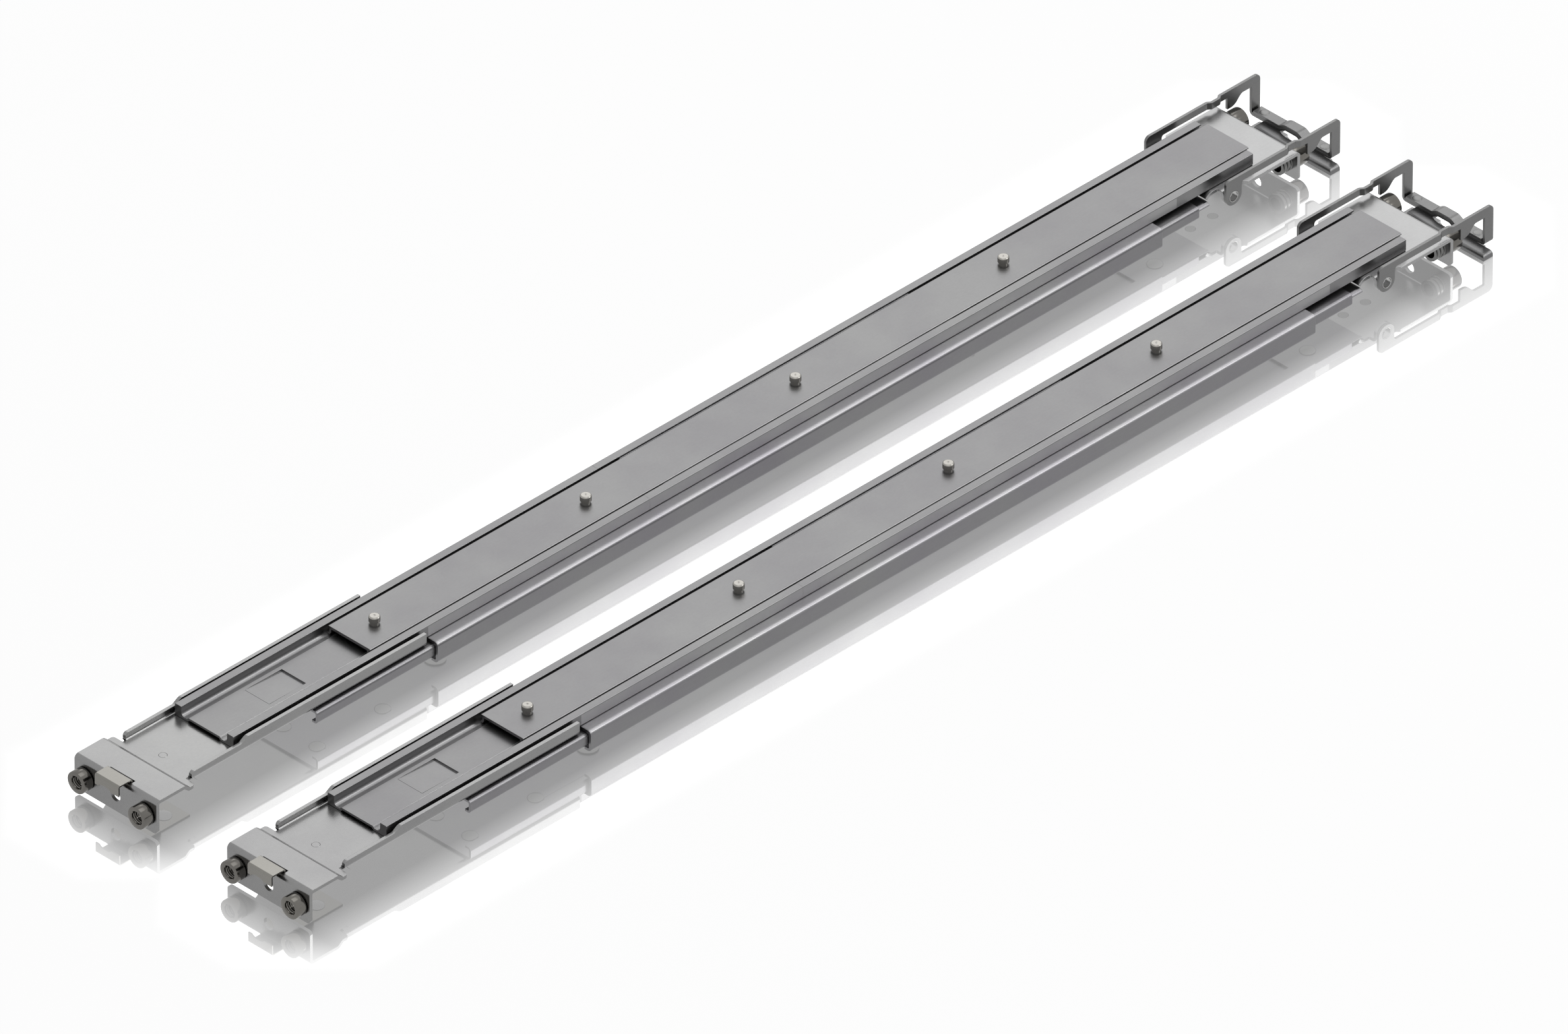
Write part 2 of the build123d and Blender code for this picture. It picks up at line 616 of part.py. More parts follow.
def rear_hook_clip():
    """The hook clip bent from its blade, with a shallow arch in its lower lip."""
    blade = BASE_BOTTOM - STACK_GAP - CLIP_SHEET
    back = CLIP_BACK - CLIP_SHEET
    hook = CLIP_SHEET - CLIP_REACH
    under = CLIP_TOP - CLIP_SHEET
    lip = CLIP_TOP - CLIP_HANG
    points = [(CLIP_ROOT - STACK_GAP, blade), (back, blade), (back, under), (hook, under), (hook, lip)]
    clip = across(bent_sheet(points, CLIP_BEND, CLIP_SHEET), CLIP_WIDTH / 2)
    arch = Plane.YZ * (Pos(CLIP_ARCH_Y, lip) * Ellipse(CLIP_ARCH_HALF, CLIP_ARCH))
    return clip - Pos(-CLIP_REACH - PAST, 0, 0) * extrude(arch, CLIP_SHEET + 2 * PAST)


def clip_root():
    """The root of the hook clip, riveted under the base behind the bend line."""
    root = Pos(CLIP_ROOT + CLIP_ROOT_LENGTH / 2, 0, BASE_BOTTOM - CLIP_SHEET / 2) * Box(
        CLIP_ROOT_LENGTH, CLIP_WIDTH, CLIP_SHEET)
    return root - clip_rivet_hole()


def clip_rivet():
    """The rivet of the hook clip."""
    x = CLIP_ROOT + CLIP_ROOT_LENGTH / 2
    return rivet(x, 0, BASE_BOTTOM - CLIP_SHEET, BRACKET_SHEET + CLIP_SHEET, False, CLIP_RIVET_D,
                 2 * CLIP_RIVET_D)


def front_bracket():
    """Front plate: curled tongue under the slide, two pivot lugs, two ears and the end plate."""
    plate_bottom = BASE_TOP - END_PLATE_DROP
    turn = radians(FRONT_CURL_ANGLE)
    reach = (FRONT_CURL + BRACKET_SHEET) * tan(turn / 2)
    corner = TONGUE_START - reach
    run = reach + FRONT_CURL_TIP
    tip = (corner - run * cos(turn), BASE_TOP - run * sin(turn))
    points = [(MOUNTING_SPAN, plate_bottom), (MOUNTING_SPAN, BASE_TOP), (corner, BASE_TOP), tip]
    bends = [BRACKET_BEND, FRONT_CURL]
    plate = across(bent_sheet(points, bends, BRACKET_SHEET, Side.LEFT), BRACKET_HALF)
    lug_in = FRONT_LUG_HALF - BRACKET_BEND - BRACKET_SHEET
    half = [(LUG_START - TALL, 0), (LUG_START - TALL, FRONT_TONGUE_HALF),
            (LUG_START + FRONT_NOTCH, FRONT_TONGUE_HALF), (LUG_START + FRONT_NOTCH, lug_in),
            (EAR_START, lug_in), (EAR_START, BRACKET_HALF - FRONT_EAR_CHAMFER),
            (EAR_START + FRONT_EAR_CHAMFER, BRACKET_HALF), (MOUNTING_SPAN + PAST, BRACKET_HALF),
            (MOUNTING_SPAN + PAST, 0)]
    plan = outline(*half)
    plan = plan + mirror(plan, Plane.XZ)
    plate = plate & upright(plan, 0, TALL) & along(end_plate_front(), TONGUE_START - TALL, 2 * TALL)

    lug_points = [(-FRONT_LUG_HALF, BASE_TOP - LUG_DROP), (-FRONT_LUG_HALF, BASE_TOP),
                  (FRONT_LUG_HALF, BASE_TOP), (FRONT_LUG_HALF, BASE_TOP - LUG_DROP)]
    lugs = along(bent_sheet(lug_points, BRACKET_BEND, BRACKET_SHEET), LUG_START, LUG_WIDTH)
    lugs = lugs & across(lug_outline(BASE_TOP + PAST), TALL)
    bracket = plate + lugs
    for cutter in end_plate_holes(MOUNTING_SPAN - BRACKET_SHEET - PAST, BRACKET_SHEET + 2 * PAST):
        bracket -= cutter
    for x, y in front_rivet_places():
        bracket -= rod_z(RIVET_D + 2 * FASTENER_GAP, 0, TALL, x, y)
    lug_inside = FRONT_LUG_HALF - BRACKET_SHEET - FASTENER_GAP
    for cutter in mirrored(rod_y(PIVOT_D + 2 * FASTENER_GAP, lug_inside, TALL, LUG_CENTRE, PIVOT_Z)):
        bracket -= cutter
    return bracket


def lug_outline(top):
    """The side view of a pivot lug: straight sides and a full round bottom."""
    bottom = BASE_TOP - LUG_DROP
    end = LUG_START + LUG_WIDTH
    face = outline((LUG_START, top), (LUG_START, bottom), (end, bottom), (end, top))
    return round_corners(face, LUG_CORNER, (LUG_START, bottom), (end, bottom))


def latch_side_view():
    """The side view of a latch arm: lug, bar, hook tooth, window and end bar."""
    tooth = MOUNTING_SPAN + HOOK_GAP
    tooth_bottom = BAR_BOTTOM - HOOK_DROP
    window_top = BAR_BOTTOM - WINDOW_RISE
    tip = (tooth + HOOK_WIDTH, window_top)
    lug_end = LUG_START + LUG_WIDTH
    back = [(tooth + x, tooth_bottom + z) for x, z in HOOK_BACK]
    curve = Spline(*back, tip, tangents=((1, 0.1), (1, 0.5)))
    runs = Polyline(tip, (END_BAR_START, window_top), (END_BAR_START, 0), (LATCH_FRONT, 0),
                    (LATCH_FRONT, LATCH_TOP), (LUG_START, LATCH_TOP), (LUG_START, BASE_TOP),
                    (lug_end, BASE_TOP), (lug_end, BAR_BOTTOM), (tooth, BAR_BOTTOM),
                    (tooth, tooth_bottom), back[0])
    face = make_face([runs, curve])
    face = round_corners(face, LATCH_CORNER, (LATCH_FRONT, LATCH_TOP), (LUG_START, LATCH_TOP))
    face = round_corners(face, LATCH_SHEET, (lug_end, BAR_BOTTOM))
    return face + lug_outline(BASE_TOP)


def arch_points(half):
    """Points across the underside of the latch's web, with the finger arch in the middle."""
    rise = LATCH_BOTTOM + STRIP_ARCH
    return [(-half, LATCH_BOTTOM), (-STRIP_ARCH_HALF, LATCH_BOTTOM), (-STRIP_ARCH_TOP, rise),
            (STRIP_ARCH_TOP, rise), (STRIP_ARCH_HALF, LATCH_BOTTOM), (half, LATCH_BOTTOM)]


def latch_frame():
    """The latch sheet: two dimpled arms with hook teeth, joined by an arched web."""
    dimple_start = MOUNTING_SPAN - DIMPLE_FROM_FACE
    dimple_end = dimple_start + DIMPLE_LENGTH
    dimple_y = LATCH_HALF - DIMPLE_DEPTH
    plan = [(LUG_START - PAST, LATCH_HALF), (dimple_start, LATCH_HALF),
            (dimple_start + DIMPLE_SLOPE, dimple_y), (dimple_end - DIMPLE_SLOPE, dimple_y),
            (dimple_end, LATCH_HALF), (LATCH_FRONT + PAST, LATCH_HALF)]
    bar_low = LATCH_BOTTOM + LATCH_BEND + LATCH_SHEET + STACK_GAP
    sheet = upright(bent_sheet(plan, DIMPLE_BEND, LATCH_SHEET), bar_low, TALL)
    side_view = across(latch_side_view(), TALL)
    arm = sheet & side_view
    web_points = [(-LATCH_HALF, bar_low)] + arch_points(LATCH_HALF) + [(LATCH_HALF, bar_low)]
    bends = [LATCH_BEND] + [STRIP_BEND] * 4 + [LATCH_BEND]
    web = along(bent_sheet(web_points, bends, LATCH_SHEET, Side.LEFT), END_BAR_START, END_BAR)
    frame = arm + mirror(arm, Plane.XZ) + web
    frame -= rod_y(PIVOT_D + 2 * PIVOT_GAP, -TALL / 2, TALL, LUG_CENTRE, PIVOT_Z)
    for side in (-1, 1):
        frame -= rod_z(LATCH_RIVET_D + 2 * FASTENER_GAP, 0, LATCH_TOP / 2, LATCH_RIVET_X,
                       side * LATCH_RIVET_Y)
    return frame


def pivot_eyelets():
    """Hollow pins that the latch arms turn on, pressed into the bracket's lugs."""
    inside = FRONT_LUG_HALF - BRACKET_SHEET
    length = LATCH_HALF - inside
    eyelet = rod_y(PIVOT_D, inside, length, LUG_CENTRE, PIVOT_Z)
    eyelet -= rod_y(PIVOT_BORE, inside - PAST, length + 2 * PAST, LUG_CENTRE, PIVOT_Z)
    return mirrored(eyelet)


def grip_strip():
    """The strip on top of the web, arched like it in the middle for a finger."""
    end = LATCH_HALF - LATCH_SHEET - LATCH_BEND - STACK_GAP
    points = mitred(arch_points(end), LATCH_SHEET, Side.LEFT)
    bends = [STRIP_BEND - LATCH_SHEET, STRIP_BEND + LATCH_SHEET]
    strip = along(bent_sheet(points, bends + bends[::-1], STRIP_SHEET, Side.LEFT), END_BAR_START, END_BAR)
    for side in (-1, 1):
        strip -= rod_z(LATCH_RIVET_D + 2 * FASTENER_GAP, 0, TALL, LATCH_RIVET_X, side * LATCH_RIVET_Y)
    return strip


def pull_plate():
    """The plate under the web, pressed like a tray: turned down along its back edge and its free end."""
    back = END_BAR_START - PULL_DEPTH
    foot_end = LATCH_RIVET_Y + LATCH_RIVET_HEAD_D / 2
    plate = tray(back, LATCH_FRONT + 2 * PULL_BEND, -PULL_OUTSIDE, PULL_INSIDE + 2 * PULL_BEND, 0)
    plate -= tray(back, LATCH_FRONT + 2 * PULL_BEND, -PULL_OUTSIDE, PULL_INSIDE + 2 * PULL_BEND,
                  PULL_SHEET)
    front = LATCH_FRONT - STACK_GAP
    plan = outline((back - PAST, -PULL_OUTSIDE - PAST), (END_BAR_START, -PULL_OUTSIDE - PAST),
                   (END_BAR_START, -foot_end), (front, -foot_end), (front, PULL_INSIDE),
                   (back - PAST, PULL_INSIDE))
    radius = (STRIP_ARCH_HALF ** 2 + PULL_NOTCH ** 2) / (2 * PULL_NOTCH)
    notch = Pos(END_BAR_START - PULL_NOTCH + radius, 0) * Circle(radius)
    notch = notch & (Pos(LATCH_FRONT, 0) * Rectangle(2 * (LATCH_FRONT - back), 2 * STRIP_ARCH_HALF))
    plate = plate & upright(plan - notch, -PAST, TALL)
    return plate - rod_z(LATCH_RIVET_D + 2 * FASTENER_GAP, 0, TALL, LATCH_RIVET_X, -LATCH_RIVET_Y)


def tray(back, front, right, left, inset):
    """A block with round top edges, smaller by the inset along its back, its right end and its top."""
    top = LATCH_BOTTOM - inset
    bottom = -PAST if inset else 0
    width = front - back - inset
    length = left - right - inset
    block = Pos(back + inset + width / 2, right + inset + length / 2, (top + bottom) / 2) * Box(
        width, length, top - bottom)
    upper = block.edges().filter_by(GeomType.LINE).group_by(Axis.Z)[-1]
    back_edge = upper.group_by(Axis.X)[0]
    right_edge = upper.group_by(Axis.Y)[0]
    return fillet(back_edge + right_edge, PULL_BEND - inset)


def latch_rivets():
    """The rivets through strip and web; the right one holds the pull plate too."""
    rivets = []
    for side in (-1, 1):
        held = PULL_SHEET if side < 0 else 0
        grip = held + LATCH_SHEET + STRIP_SHEET
        rivets.append(rivet(LATCH_RIVET_X, side * LATCH_RIVET_Y, LATCH_BOTTOM - held, grip, True,
                            LATCH_RIVET_D, LATCH_RIVET_HEAD_D, LATCH_RIVET_HEAD))
    return rivets


def rear_rivets():
    """Rivets that join rear bracket and extension channel, flush on top."""
    bottom = BASE_BOTTOM - EXTENSION_SHEET
    return [rivet(x, y, bottom, EXTENSION_SHEET + BRACKET_SHEET, False) for x, y in rear_rivet_places()]


def stop_rivets():
    """Rivets that hold the stop plate under the extension channel, flush on top."""
    bottom = EXTENSION_UNDER - STOP_SHEET
    return [rivet(x, y, bottom, EXTENSION_SHEET + STOP_SHEET, False) for x, y in stop_rivet_places()]


def slide_rivets():
    """Rivets that join the outer slide member to the support channel, flush below."""
    bottom = BASE_TOP - SUPPORT_SHEET
    return [rivet(x, y, bottom, WEB_TOP - bottom, True) for x, y in slide_rivet_places()]


def front_rivets():
    """Rivets that join the outer slide member to the front bracket."""
    return [rivet(x, y, BASE_BOTTOM, WEB_TOP - BASE_BOTTOM, True) for x, y in front_rivet_places()]


def rail():
    """Every node of one rail in the rail's own frame."""
    return {
        "rear_bracket": [rear_bracket()],
        "rear_guide_posts": rear_posts(),
        "rear_hook_clip": [rear_hook_clip()],
        "rear_clip_root": [clip_root()],
        "rear_clip_rivet": [clip_rivet()],
        "rear_extension_channel": [extension_channel()],
        "rear_rivets": rear_rivets(),
        "extension_stop": [extension_stop()],
        "extension_stop_rivets": stop_rivets(),
        "extension_guide_rivet": [guide_rivet()],
        "support_channel": [support_channel()],
        "slide_rivets": slide_rivets(),
        "slide_outer_member": [slide_outer()],
        "slide_inner_member": [inner_member()],
        "mounting_studs": mounting_studs(),
        "ball_cages": cage_strips(),
        "slide_balls": balls(),
        "front_bracket": [front_bracket()],
        "front_rivets": front_rivets(),
        "front_guide_posts": front_posts(),
        "front_lock_rings": front_lock_rings(),
        "latch_frame": [latch_frame()],
        "latch_pivot_eyelets": pivot_eyelets(),
        "latch_grip_strip": [grip_strip()],
        "latch_pull_plate": [pull_plate()],
        "latch_rivets": latch_rivets(),
    }


def main():
    """Write both rails, one file for each node, round the middle of the pair."""
    os.makedirs("parts", exist_ok=True)
    middle_x = (LATCH_FRONT - REAR_POST_LENGTH) / 2
    middle_y = (LATCH_HALF - PULL_OUTSIDE) / 2
    pieces = rail()
    for name, offset_y in (("right", -RAIL_SPACING / 2), ("left", RAIL_SPACING / 2)):
        place = Pos(-middle_x, offset_y - middle_y, 0)
        for node, solids in pieces.items():
            shape = Compound(children=[place * solid for solid in solids])
            export_step(shape, f"parts/{name}_{node}.step")


main()
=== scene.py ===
import logging
import math
from collections.abc import Iterator
from dataclasses import dataclass, field
from enum import Enum
from typing import Any

import bmesh
import bpy
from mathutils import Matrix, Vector


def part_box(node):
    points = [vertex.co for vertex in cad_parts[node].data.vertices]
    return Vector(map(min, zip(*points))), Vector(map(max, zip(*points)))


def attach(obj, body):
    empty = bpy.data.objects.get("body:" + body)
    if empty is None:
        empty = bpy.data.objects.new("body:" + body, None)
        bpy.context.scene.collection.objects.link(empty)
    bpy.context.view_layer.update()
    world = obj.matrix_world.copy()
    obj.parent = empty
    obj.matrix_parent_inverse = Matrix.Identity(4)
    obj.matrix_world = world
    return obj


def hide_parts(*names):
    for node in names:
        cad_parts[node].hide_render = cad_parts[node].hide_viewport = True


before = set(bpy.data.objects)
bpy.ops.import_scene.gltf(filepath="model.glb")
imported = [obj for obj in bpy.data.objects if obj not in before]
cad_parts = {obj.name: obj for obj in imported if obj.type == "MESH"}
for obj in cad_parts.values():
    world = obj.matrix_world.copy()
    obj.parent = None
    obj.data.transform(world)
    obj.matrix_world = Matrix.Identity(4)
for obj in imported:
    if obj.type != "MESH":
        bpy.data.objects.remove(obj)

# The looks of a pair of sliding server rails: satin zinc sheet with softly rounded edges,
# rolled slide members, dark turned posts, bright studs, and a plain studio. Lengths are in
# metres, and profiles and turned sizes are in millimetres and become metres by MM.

LOG = logging.getLogger("server_rails")
MM = 0.001
Colour = tuple[float, float, float]
PAIR_MIDDLE = 2.2 * MM
RAIL_PLACE = 40.15 * MM
MERGE_DISTANCE = 0.001 * MM
FLAT_ANGLE = 0.5
EDGE_ANGLE = 40
TURNED_SHARP = 38
ALL_SMOOTH = 180
FILLET_STEPS = 5


class Side(Enum):
    """Which rail of the pair."""

    RIGHT = "right"
    LEFT = "left"


class Body(Enum):
    """The bodies that each rail is made of."""

    FIXED = "root"
    EXTENSION = "rear_extension"
    CLIP = "rear_clip"
    INNER = "inner_slide"
    CAGE = "ball_cage"
    LATCH = "latch"

    def name_for(self, side: Side) -> str:
        """The body's name in the frame."""
        return self.value if self is Body.FIXED else f"{side.value}_{self.value}"


class Way(Enum):
    """Which way a turned piece points, and the turn that brings +Z there."""

    UP = (2, 1, (0.0, 0.0, 0.0))
    DOWN = (2, -1, (math.pi, 0.0, 0.0))
    FRONT = (0, 1, (0.0, math.pi / 2, 0.0))
    REAR = (0, -1, (0.0, -math.pi / 2, 0.0))
    OUT_LEFT = (1, 1, (-math.pi / 2, 0.0, 0.0))
    OUT_RIGHT = (1, -1, (math.pi / 2, 0.0, 0.0))

    @property
    def axis(self) -> int:
        """The axis it lies along: 0, 1 or 2."""
        return self.value[0]

    @property
    def sign(self) -> int:
        """1 where it points up that axis, and -1 where it points down it."""
        return self.value[1]

    @property
    def turn(self) -> tuple[float, float, float]:
        """The turn about X, Y and Z, in radians."""
        return self.value[2]


class Value:
    """A shader socket that stands in Python expressions."""

    def __init__(self, graph: "Graph", socket: bpy.types.NodeSocket) -> None:
        """Keep the graph and the socket."""
        self.graph = graph
        self.socket = socket

    def _math(self, operation: str, first: Any, second: Any) -> "Value":
        """A Math node on two values."""
        return self.graph.node("ShaderNodeMath", {"operation": operation}, {0: first, 1: second})

    def __add__(self, other: Any) -> "Value":
        """The sum."""
        return self._math("ADD", self, other)

    def __radd__(self, other: Any) -> "Value":
        """The sum, the other way round."""
        return self._math("ADD", other, self)

    def __sub__(self, other: Any) -> "Value":
        """The difference."""
        return self._math("SUBTRACT", self, other)

    def __rsub__(self, other: Any) -> "Value":
        """The difference, the other way round."""
        return self._math("SUBTRACT", other, self)

    def __mul__(self, other: Any) -> "Value":
        """The product."""
        return self._math("MULTIPLY", self, other)

    def __rmul__(self, other: Any) -> "Value":
        """The product, the other way round."""
        return self._math("MULTIPLY", other, self)

    def __abs__(self) -> "Value":
        """The size without its sign."""
        return self._math("ABSOLUTE", self, 0.0)

    def above(self, other: Any) -> "Value":
        """1 where it is above another value, else 0."""
        return self._math("GREATER_THAN", self, other)

    def larger(self, other: Any) -> "Value":
        """The larger of two values."""
        return self._math("MAXIMUM", self, other)


class Graph:
    """The node tree of one material or of the world."""

    def __init__(self, owner: Any) -> None:
        """Empty the owner's tree.

        Args:
            owner: a material or a world.
        """
        owner.use_nodes = True
        self.tree = owner.node_tree
        self.tree.nodes.clear()

    def node(self, kind: str, settings: dict[str, Any], sockets: dict[Any, Any], out: Any = 0) -> Value:
        """Make a node, set it up and connect it.

        Args:
            kind: the node's type.
            settings: its own settings; "stops" are a ramp's (position, grey) pairs.
            sockets: numbers, colours or Values for its inputs, by name or index.
            out: the output that the result stands for.

        Returns:
            The chosen output.
        """
        made = self.tree.nodes.new(kind)
        for name, setting in settings.items():
            if name == "stops":
                self._set_stops(made.color_ramp, setting)
            else:
                setattr(made, name, setting)
        for name, value in sockets.items():
            if isinstance(value, Value):
                self.tree.links.new(value.socket, made.inputs[name])
            else:
                made.inputs[name].default_value = value
        return Value(self, made.outputs[out]) if made.outputs else Value(self, made.inputs[0])

    @staticmethod
    def _set_stops(ramp: bpy.types.ColorRamp, stops: list[tuple[float, float]]) -> None:
        """Give a colour ramp its grey stops."""
        for (position, grey), element in zip(stops, ramp.elements):
            element.position = position
            element.color = (grey, grey, grey, 1)
        for position, grey in stops[len(ramp.elements):]:
            ramp.elements.new(position).color = (grey, grey, grey, 1)


@dataclass(frozen=True)
class Steel:
    """A plated or plain steel finish.

    Attributes:
        name: the material's name.
        slot: the record's slot that it stands for; not used.
        colour: its reflection, linear.
        tint: the colour that the clouds of the plating drift to.
        roughness: the mean roughness.
        cloud: how much the plating's clouds change colour and roughness.
        grain: the depth of the rolling grain, in metres.
        grain_width: the width of a grain line across the rail, in metres.
        grain_length: its length along the rail, in metres.
        painted_light: how much brighter the strips beside the slide's walls are painted, as painted light
            that stands in for the light falling there.
        cloud_scale: how many clouds lie in a metre.
        speck_scale: how many specks lie in a metre.
    """

    name: str
    slot: str
    colour: Colour
    tint: Colour
    roughness: float
    cloud: float = 0.1
    grain: float = 4e-6
    grain_width: float = 0.35 * MM
    grain_length: float = 9.0 * MM
    painted_light: float = 0.0
    cloud_scale: float = 34.0
    speck_scale: float = 900.0

    def material(self) -> bpy.types.Material:
        """The material, made once for each name."""
        found = bpy.data.materials.get(self.name)
        return found or self._make()

    def _make(self) -> bpy.types.Material:
        """Clouded colour, rolled grain and a roughness that follows both."""
        made = bpy.data.materials.new(self.name)
        graph = Graph(made)
        place = graph.node("ShaderNodeTexCoord", {}, {}, "Object")
        along = (1 / self.grain_length, 1 / self.grain_width, 1 / self.grain_width)
        drawn = graph.node("ShaderNodeMapping", {}, {"Vector": place, "Scale": along})
        lines = graph.node("ShaderNodeTexNoise", {}, {"Vector": drawn, "Scale": 1.0, "Detail": 2.0})
        clouds = graph.node("ShaderNodeTexNoise", {},
                            {"Vector": place, "Scale": self.cloud_scale, "Detail": 4.0, "Roughness": 0.55})
        specks = graph.node("ShaderNodeTexNoise", {},
                            {"Vector": place, "Scale": self.speck_scale, "Detail": 2.0, "Roughness": 0.6})
        patch = graph.node("ShaderNodeValToRGB", {"stops": [(0.34, 0.0), (0.66, 1.0)]}, {"Fac": clouds})
        drift = graph.node("ShaderNodeMix", {"data_type": "RGBA"},
                           {0: patch, 6: (*self.colour, 1), 7: (*self.tint, 1)}, 2)
        level = 1.0 + (lines - 0.5) * (self.cloud * 1.2) + (specks - 0.5) * self.cloud
        # Painted light: the strips beside the slide's walls are coloured brighter to stand in for light that
        # falls there.
        if self.painted_light:
            level = level + self._beside_walls(graph, place) * self.painted_light
        colour = graph.node("ShaderNodeVectorMath", {"operation": "SCALE"}, {0: drift, "Scale": level})
        rough = self.roughness + (clouds - 0.5) * self.cloud + (lines - 0.5) * (self.cloud * 0.8)
        height = lines * 0.7 + specks * 0.3
        bump = graph.node("ShaderNodeBump", {}, {"Height": height, "Strength": 1.0, "Distance": self.grain})
        shader = graph.node("ShaderNodeBsdfPrincipled", {},
                            {"Base Color": colour, "Metallic": 1.0, "Roughness": rough, "Normal": bump})
        graph.node("ShaderNodeOutputMaterial", {}, {"Surface": shader})
        return made

    @staticmethod
    def _beside_walls(graph: Graph, place: Value) -> Value:
        """Where the slide's outer flanks are, and the channel's top beside them, which get the painted light.

        Args:
            graph: the material's tree.
            place: the point's place.

        Returns:
            1 there, and 0 elsewhere.
        """
        flank, foot, top = 15.2 * MM, 14.2 * MM, 19.4 * MM
        channel_middle, channel_half = 35.0 * MM, 197.0 * MM
        along, across, height = (graph.node("ShaderNodeSeparateXYZ", {}, {0: place}, axis) for axis in "XYZ")
        outward = abs(abs(across - PAIR_MIDDLE) - RAIL_PLACE).above(flank)
        level = height.above(foot) * (1.0 - height.above(top))
        return outward * level * (1.0 - abs(along - channel_middle).above(channel_half))


# The slide and the channel carry painted light on the strips beside the slide's walls.
ZINC_SLIDE = Steel("zinc_slide", "slide_steel", (0.195, 0.195, 0.195), (0.183, 0.181, 0.185), 0.34,
                   painted_light=0.6)
ZINC_CHANNEL = Steel("zinc_channel", "channel_steel", (0.20, 0.20, 0.202), (0.19, 0.185, 0.197), 0.35,
                     painted_light=0.5)
ZINC_BRACKET = Steel("zinc_bracket", "bracket_steel", (0.242, 0.242, 0.24), (0.225, 0.224, 0.225), 0.26)
ZINC_FRONT = Steel("zinc_front_plate", "front_plate_steel", (0.31, 0.31, 0.31), (0.29, 0.29, 0.29), 0.30)
ZINC_LATCH = Steel("zinc_latch", "latch_steel", (0.172, 0.172, 0.17), (0.16, 0.16, 0.16), 0.32)
ZINC_PULL = Steel("zinc_pull_plate", "pull_plate_steel", (0.17, 0.17, 0.17), (0.155, 0.155, 0.157), 0.34)
DARK_POST = Steel("dark_post", "post_steel", (0.15, 0.144, 0.132), (0.135, 0.129, 0.12), 0.15,
                  cloud=0.05, grain=1.5e-6, grain_length=2.5 * MM, grain_width=0.12 * MM)
BRIGHT_STUD = Steel("bright_stud", "post_steel", (0.31, 0.30, 0.28), (0.29, 0.28, 0.262), 0.18,
                    cloud=0.05, grain=1.5e-6, grain_length=2.5 * MM, grain_width=0.12 * MM)
LOCK_RING = Steel("lock_ring", "post_steel", (0.17, 0.17, 0.167), (0.16, 0.16, 0.158), 0.28, cloud=0.05)
SPRING_SHEET = Steel("spring_sheet", "spring_steel", (0.215, 0.209, 0.193), (0.2, 0.194, 0.18), 0.2,
                     cloud=0.07)
RIVET_STEEL = Steel("zinc_rivet", "rivet_steel", (0.2, 0.2, 0.198), (0.188, 0.188, 0.186), 0.34, cloud=0.06)
EYELET_STEEL = Steel("eyelet_steel", "rivet_steel", (0.5, 0.5, 0.495), (0.47, 0.47, 0.465), 0.3, cloud=0.06)
FLUSH_RIVET = Steel("flush_rivet", "rivet_steel", (0.242, 0.242, 0.24), (0.225, 0.224, 0.225), 0.26)
BALL_STEEL = Steel("polished_ball", "ball_steel", (0.55, 0.55, 0.55), (0.53, 0.53, 0.53), 0.08, cloud=0.02)
CAGE_STRIP = Steel("cage_strip", "cage_steel", (0.22, 0.22, 0.22), (0.20, 0.20, 0.21), 0.40)


def settle(mesh: bpy.types.Mesh, sharp_degrees: float) -> None:
    """Shade a mesh smooth, apart from edges sharper than an angle."""
    mesh.polygons.foreach_set("use_smooth", [True] * len(mesh.polygons))
    mesh.set_sharp_from_angle(angle=math.radians(sharp_degrees))
    mesh.update()


def dress(piece: bpy.types.Object, finish: Steel) -> None:
    """Give a piece one finish in its only slot."""
    piece.data.materials.clear()
    piece.data.materials.append(finish.material())


def added(name: str, data: Any) -> bpy.types.Object:
    """A new object with this data, linked to the scene."""
    made = bpy.data.objects.new(name, data)
    bpy.context.scene.collection.objects.link(made)
    return made


@dataclass(frozen=True)
class Piece:
    """A piece, or a set of alike pieces, that stands for one node of each rail.

    Attributes:
        node: the node's name without its side.
        body: the body that it rides on.
        finish: its steel.
    """

    node: str
    body: Body
    finish: Steel

    def shape(self, name: str) -> bpy.types.Mesh:
        """The finished mesh in the frame's place, under the piece's own name.

        Args:
            name: the node's full name.

        Returns:
            The mesh.
        """
        raise NotImplementedError

    def build(self, side: Side) -> None:
        """Dress one rail's node and let the finished mesh stand for it on its body."""
        name, body = f"{side.value}_{self.node}", self.body.name_for(side)
        dress(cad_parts[name], self.finish)
        mesh = self.shape(name)
        piece = added(mesh.name, mesh)
        dress(piece, self.finish)
        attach(piece, body)
        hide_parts(name)
        LOG.info("%s stands for %s on %s, %d faces", piece.name, name, body, len(mesh.polygons))


def rounded(mesh: bpy.types.Mesh, name: str, edge: float) -> bpy.types.Mesh:
    """A copy of a mesh with its sharp edges rounded and its flat faces shaded flat.

    Args:
        mesh: the sharp mesh.
        name: the new mesh's name.
        edge: the width of the rounded edge, in metres.

    Returns:
        The rounded mesh.
    """
    settle(mesh, ALL_SMOOTH)
    draft = added("draft", mesh)
    bevel = draft.modifiers.new("edge", "BEVEL")
    bevel.width = edge
    bevel.segments = 2
    bevel.limit_method = "ANGLE"
    bevel.angle_limit = math.radians(EDGE_ANGLE)
    bevel.use_clamp_overlap = False
    bevel.miter_outer = "MITER_ARC"
    even = draft.modifiers.new("even", "WEIGHTED_NORMAL")
    even.mode = "FACE_AREA"
    even.weight = 100
    depsgraph = bpy.context.evaluated_depsgraph_get()
    final = bpy.data.meshes.new_from_object(draft.evaluated_get(depsgraph))
    bpy.data.objects.remove(draft)
    final.name = name
    return final


